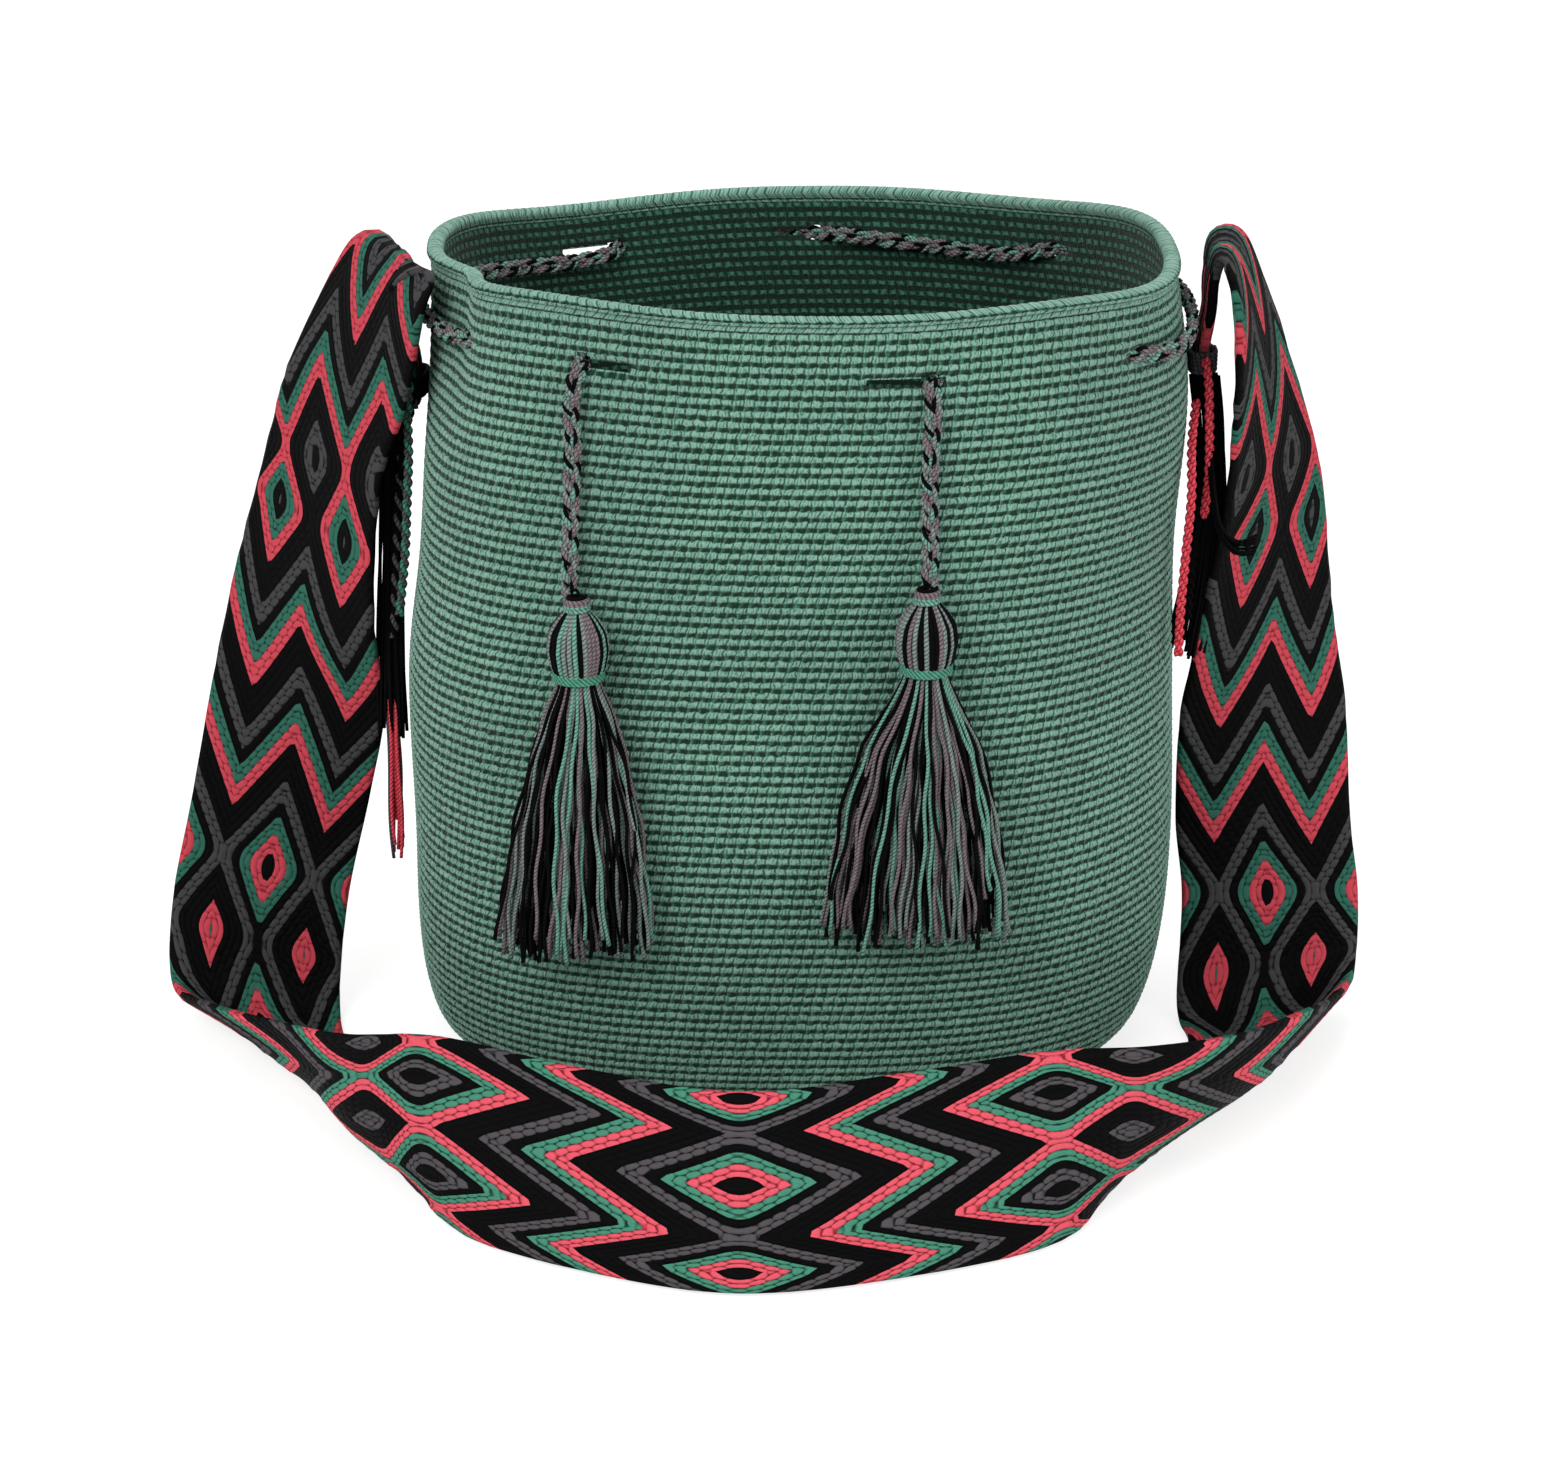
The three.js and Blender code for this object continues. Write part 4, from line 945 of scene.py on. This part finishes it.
def fringe(count=16):
    """Loose ends of coral and grey yarn that spread a little as they hang."""
    s = np.linspace(0, 1, 18)[None, :]
    spot = chance.uniform(-1, 1, (count, 4))
    z = FRINGE["top"] - (FRINGE["top"] - FRINGE["hem"]) * (0.75 + 0.25 * np.abs(spot[:, 3:4])) * s
    half = FRINGE["half"] * 0.6 + (FRINGE["spread"] - FRINGE["half"] * 0.6) * s
    paths = np.stack([FRINGE["x"] + spot[:, :1] * 2.0 + 0.8 * np.sin(6 * s + 3 * spot[:, 2:3]) * s,
                      FRINGE["y"] + spot[:, 1:2] * half + 0.7 * np.sin(8 * s + 5 * spot[:, 3:4]) * s, z], axis=-1)
    p, f, w = tubes(paths, 0.7, 5, (1, 0, 0))
    shade = chance.choice([TIE_CORAL, TIE_CHARCOAL], count, p=[0.65, 0.35])
    mesh_piece("left_fringe_yarn", p, f, tie_yarn, w, np.repeat(shade, 18 * 5), ["left_fringe"])


fringe()


def loose_yarns(name, points, across, count):
    """Black warp ends of the strap that hang loose from its lashing, side by side and a little crossed."""
    line = evened(spline(points, np.linspace(0, 1, 400), False), 4.0)[0]
    s = np.linspace(0, 1, len(line))[None, :]
    spot = chance.uniform(-1, 1, (count, 4))
    swing = spot[:, :1] * (0.7 + 0.3 * s) + 0.12 * np.sin(5 * s + 3 * spot[:, 1:2])
    swing_y = spot[:, 2:3] + 0.2 * np.sin(4 * s + 3 * spot[:, 3:4])
    shorter = 9 * np.abs(spot[:, 3:4]) * s**3
    offset = np.stack([across[0] * swing, across[1] * swing_y, shorter], axis=-1)
    p, f, w = tubes(line + offset, 0.7, 5, (1, 0.2, 0))
    mesh_piece(name, p, f, tie_yarn, w, np.full(len(p), TIE_BLACK))


loose_yarns("left_loose_yarns", [[-141, -4, 262], [-143.5, -8, 245], [-146, -10, 220], [-148, -10, 190],
                                 [-149.5, -10, 158], [-150.5, -9, 118]], (5.2, 2.5), 38)
loose_yarns("right_loose_yarns", [[158, -6, 262], [159.5, -13, 245], [160.5, -18, 220], [158.5, -19, 190],
                                  [154.5, -17, 154]], (7.0, 3.0), 44)
loose_yarns("right_curled_ends", [[159, -20, 240], [160, -29, 222], [163, -33, 208], [169, -34, 201],
                                  [176, -32, 200]], (1.2, 1.6), 6)

# Floor, light and background


def flat_plane(name, size, material):
    mesh = bpy.data.meshes.new(name)
    mesh.from_pydata([(-size, -size, 0), (size, -size, 0), (size, size, 0), (-size, size, 0)], [], [(0, 1, 2, 3)])
    mesh.materials.append(material)
    made = bpy.data.objects.new(name, mesh)
    bpy.context.scene.collection.objects.link(made)


def seen_directly(tree):
    """1 for light rays that go to the camera, straight or by way of gloss or glass, and 0 for the others."""
    ray = node(tree, "LightPath").node.outputs
    seen = node(tree, "Math", (ray["Is Camera Ray"], ray["Is Glossy Ray"]), operation="MAXIMUM")
    return node(tree, "Math", (seen, ray["Is Transmission Ray"]), operation="MAXIMUM")


paper = bpy.data.materials.new("matt_white_paper")
paper.use_nodes = True
tree = paper.node_tree
shader = tree.nodes["Principled BSDF"]
shader.inputs["Base Color"].default_value = colour("#f2f2f0")
shader.inputs["Roughness"].default_value = 0.95
shader.inputs["Specular IOR Level"].default_value = 0.0
glow = node(tree, "Emission", {"Color": (1, 1, 1, 1), "Strength": 1.5})
share = node(tree, "Math", (seen_directly(tree), 0.5), operation="MULTIPLY")
both = node(tree, "MixShader", (share, shader.outputs[0], glow))
tree.links.new(both, tree.nodes["Material Output"].inputs["Surface"])
flat_plane("floor", 12, paper)

world = bpy.data.worlds.new("studio")
bpy.context.scene.world = world
world.use_nodes = True
tree = world.node_tree
background = tree.nodes["Background"]
strength = node(tree, "MapRange", (seen_directly(tree), 0.0, 1.0, 0.55, 1.0))
tree.links.new(strength, background.inputs["Strength"])
background.inputs["Color"].default_value = (1, 1, 1, 1)


def area_light(name, place, target, size, power):
    data = bpy.data.lights.new(name, "AREA")
    data.shape = "DISK"
    data.size = size
    data.energy = power
    made = bpy.data.objects.new(name, data)
    bpy.context.scene.collection.objects.link(made)
    made.location = place
    toward = np.array(target) - np.array(place)
    flat = math.hypot(toward[0], toward[1])
    made.rotation_euler = (math.atan2(flat, -toward[2]), 0, math.atan2(toward[1], toward[0]) - math.pi / 2)


area_light("key_light", (-1.0, -1.6, 1.7), (0, 0, 0.15), 1.4, 26)
area_light("fill_light", (1.5, -1.2, 1.0), (0, 0, 0.15), 1.4, 10)
area_light("top_light", (0.2, 0.6, 1.9), (0, 0, 0.15), 1.2, 10)
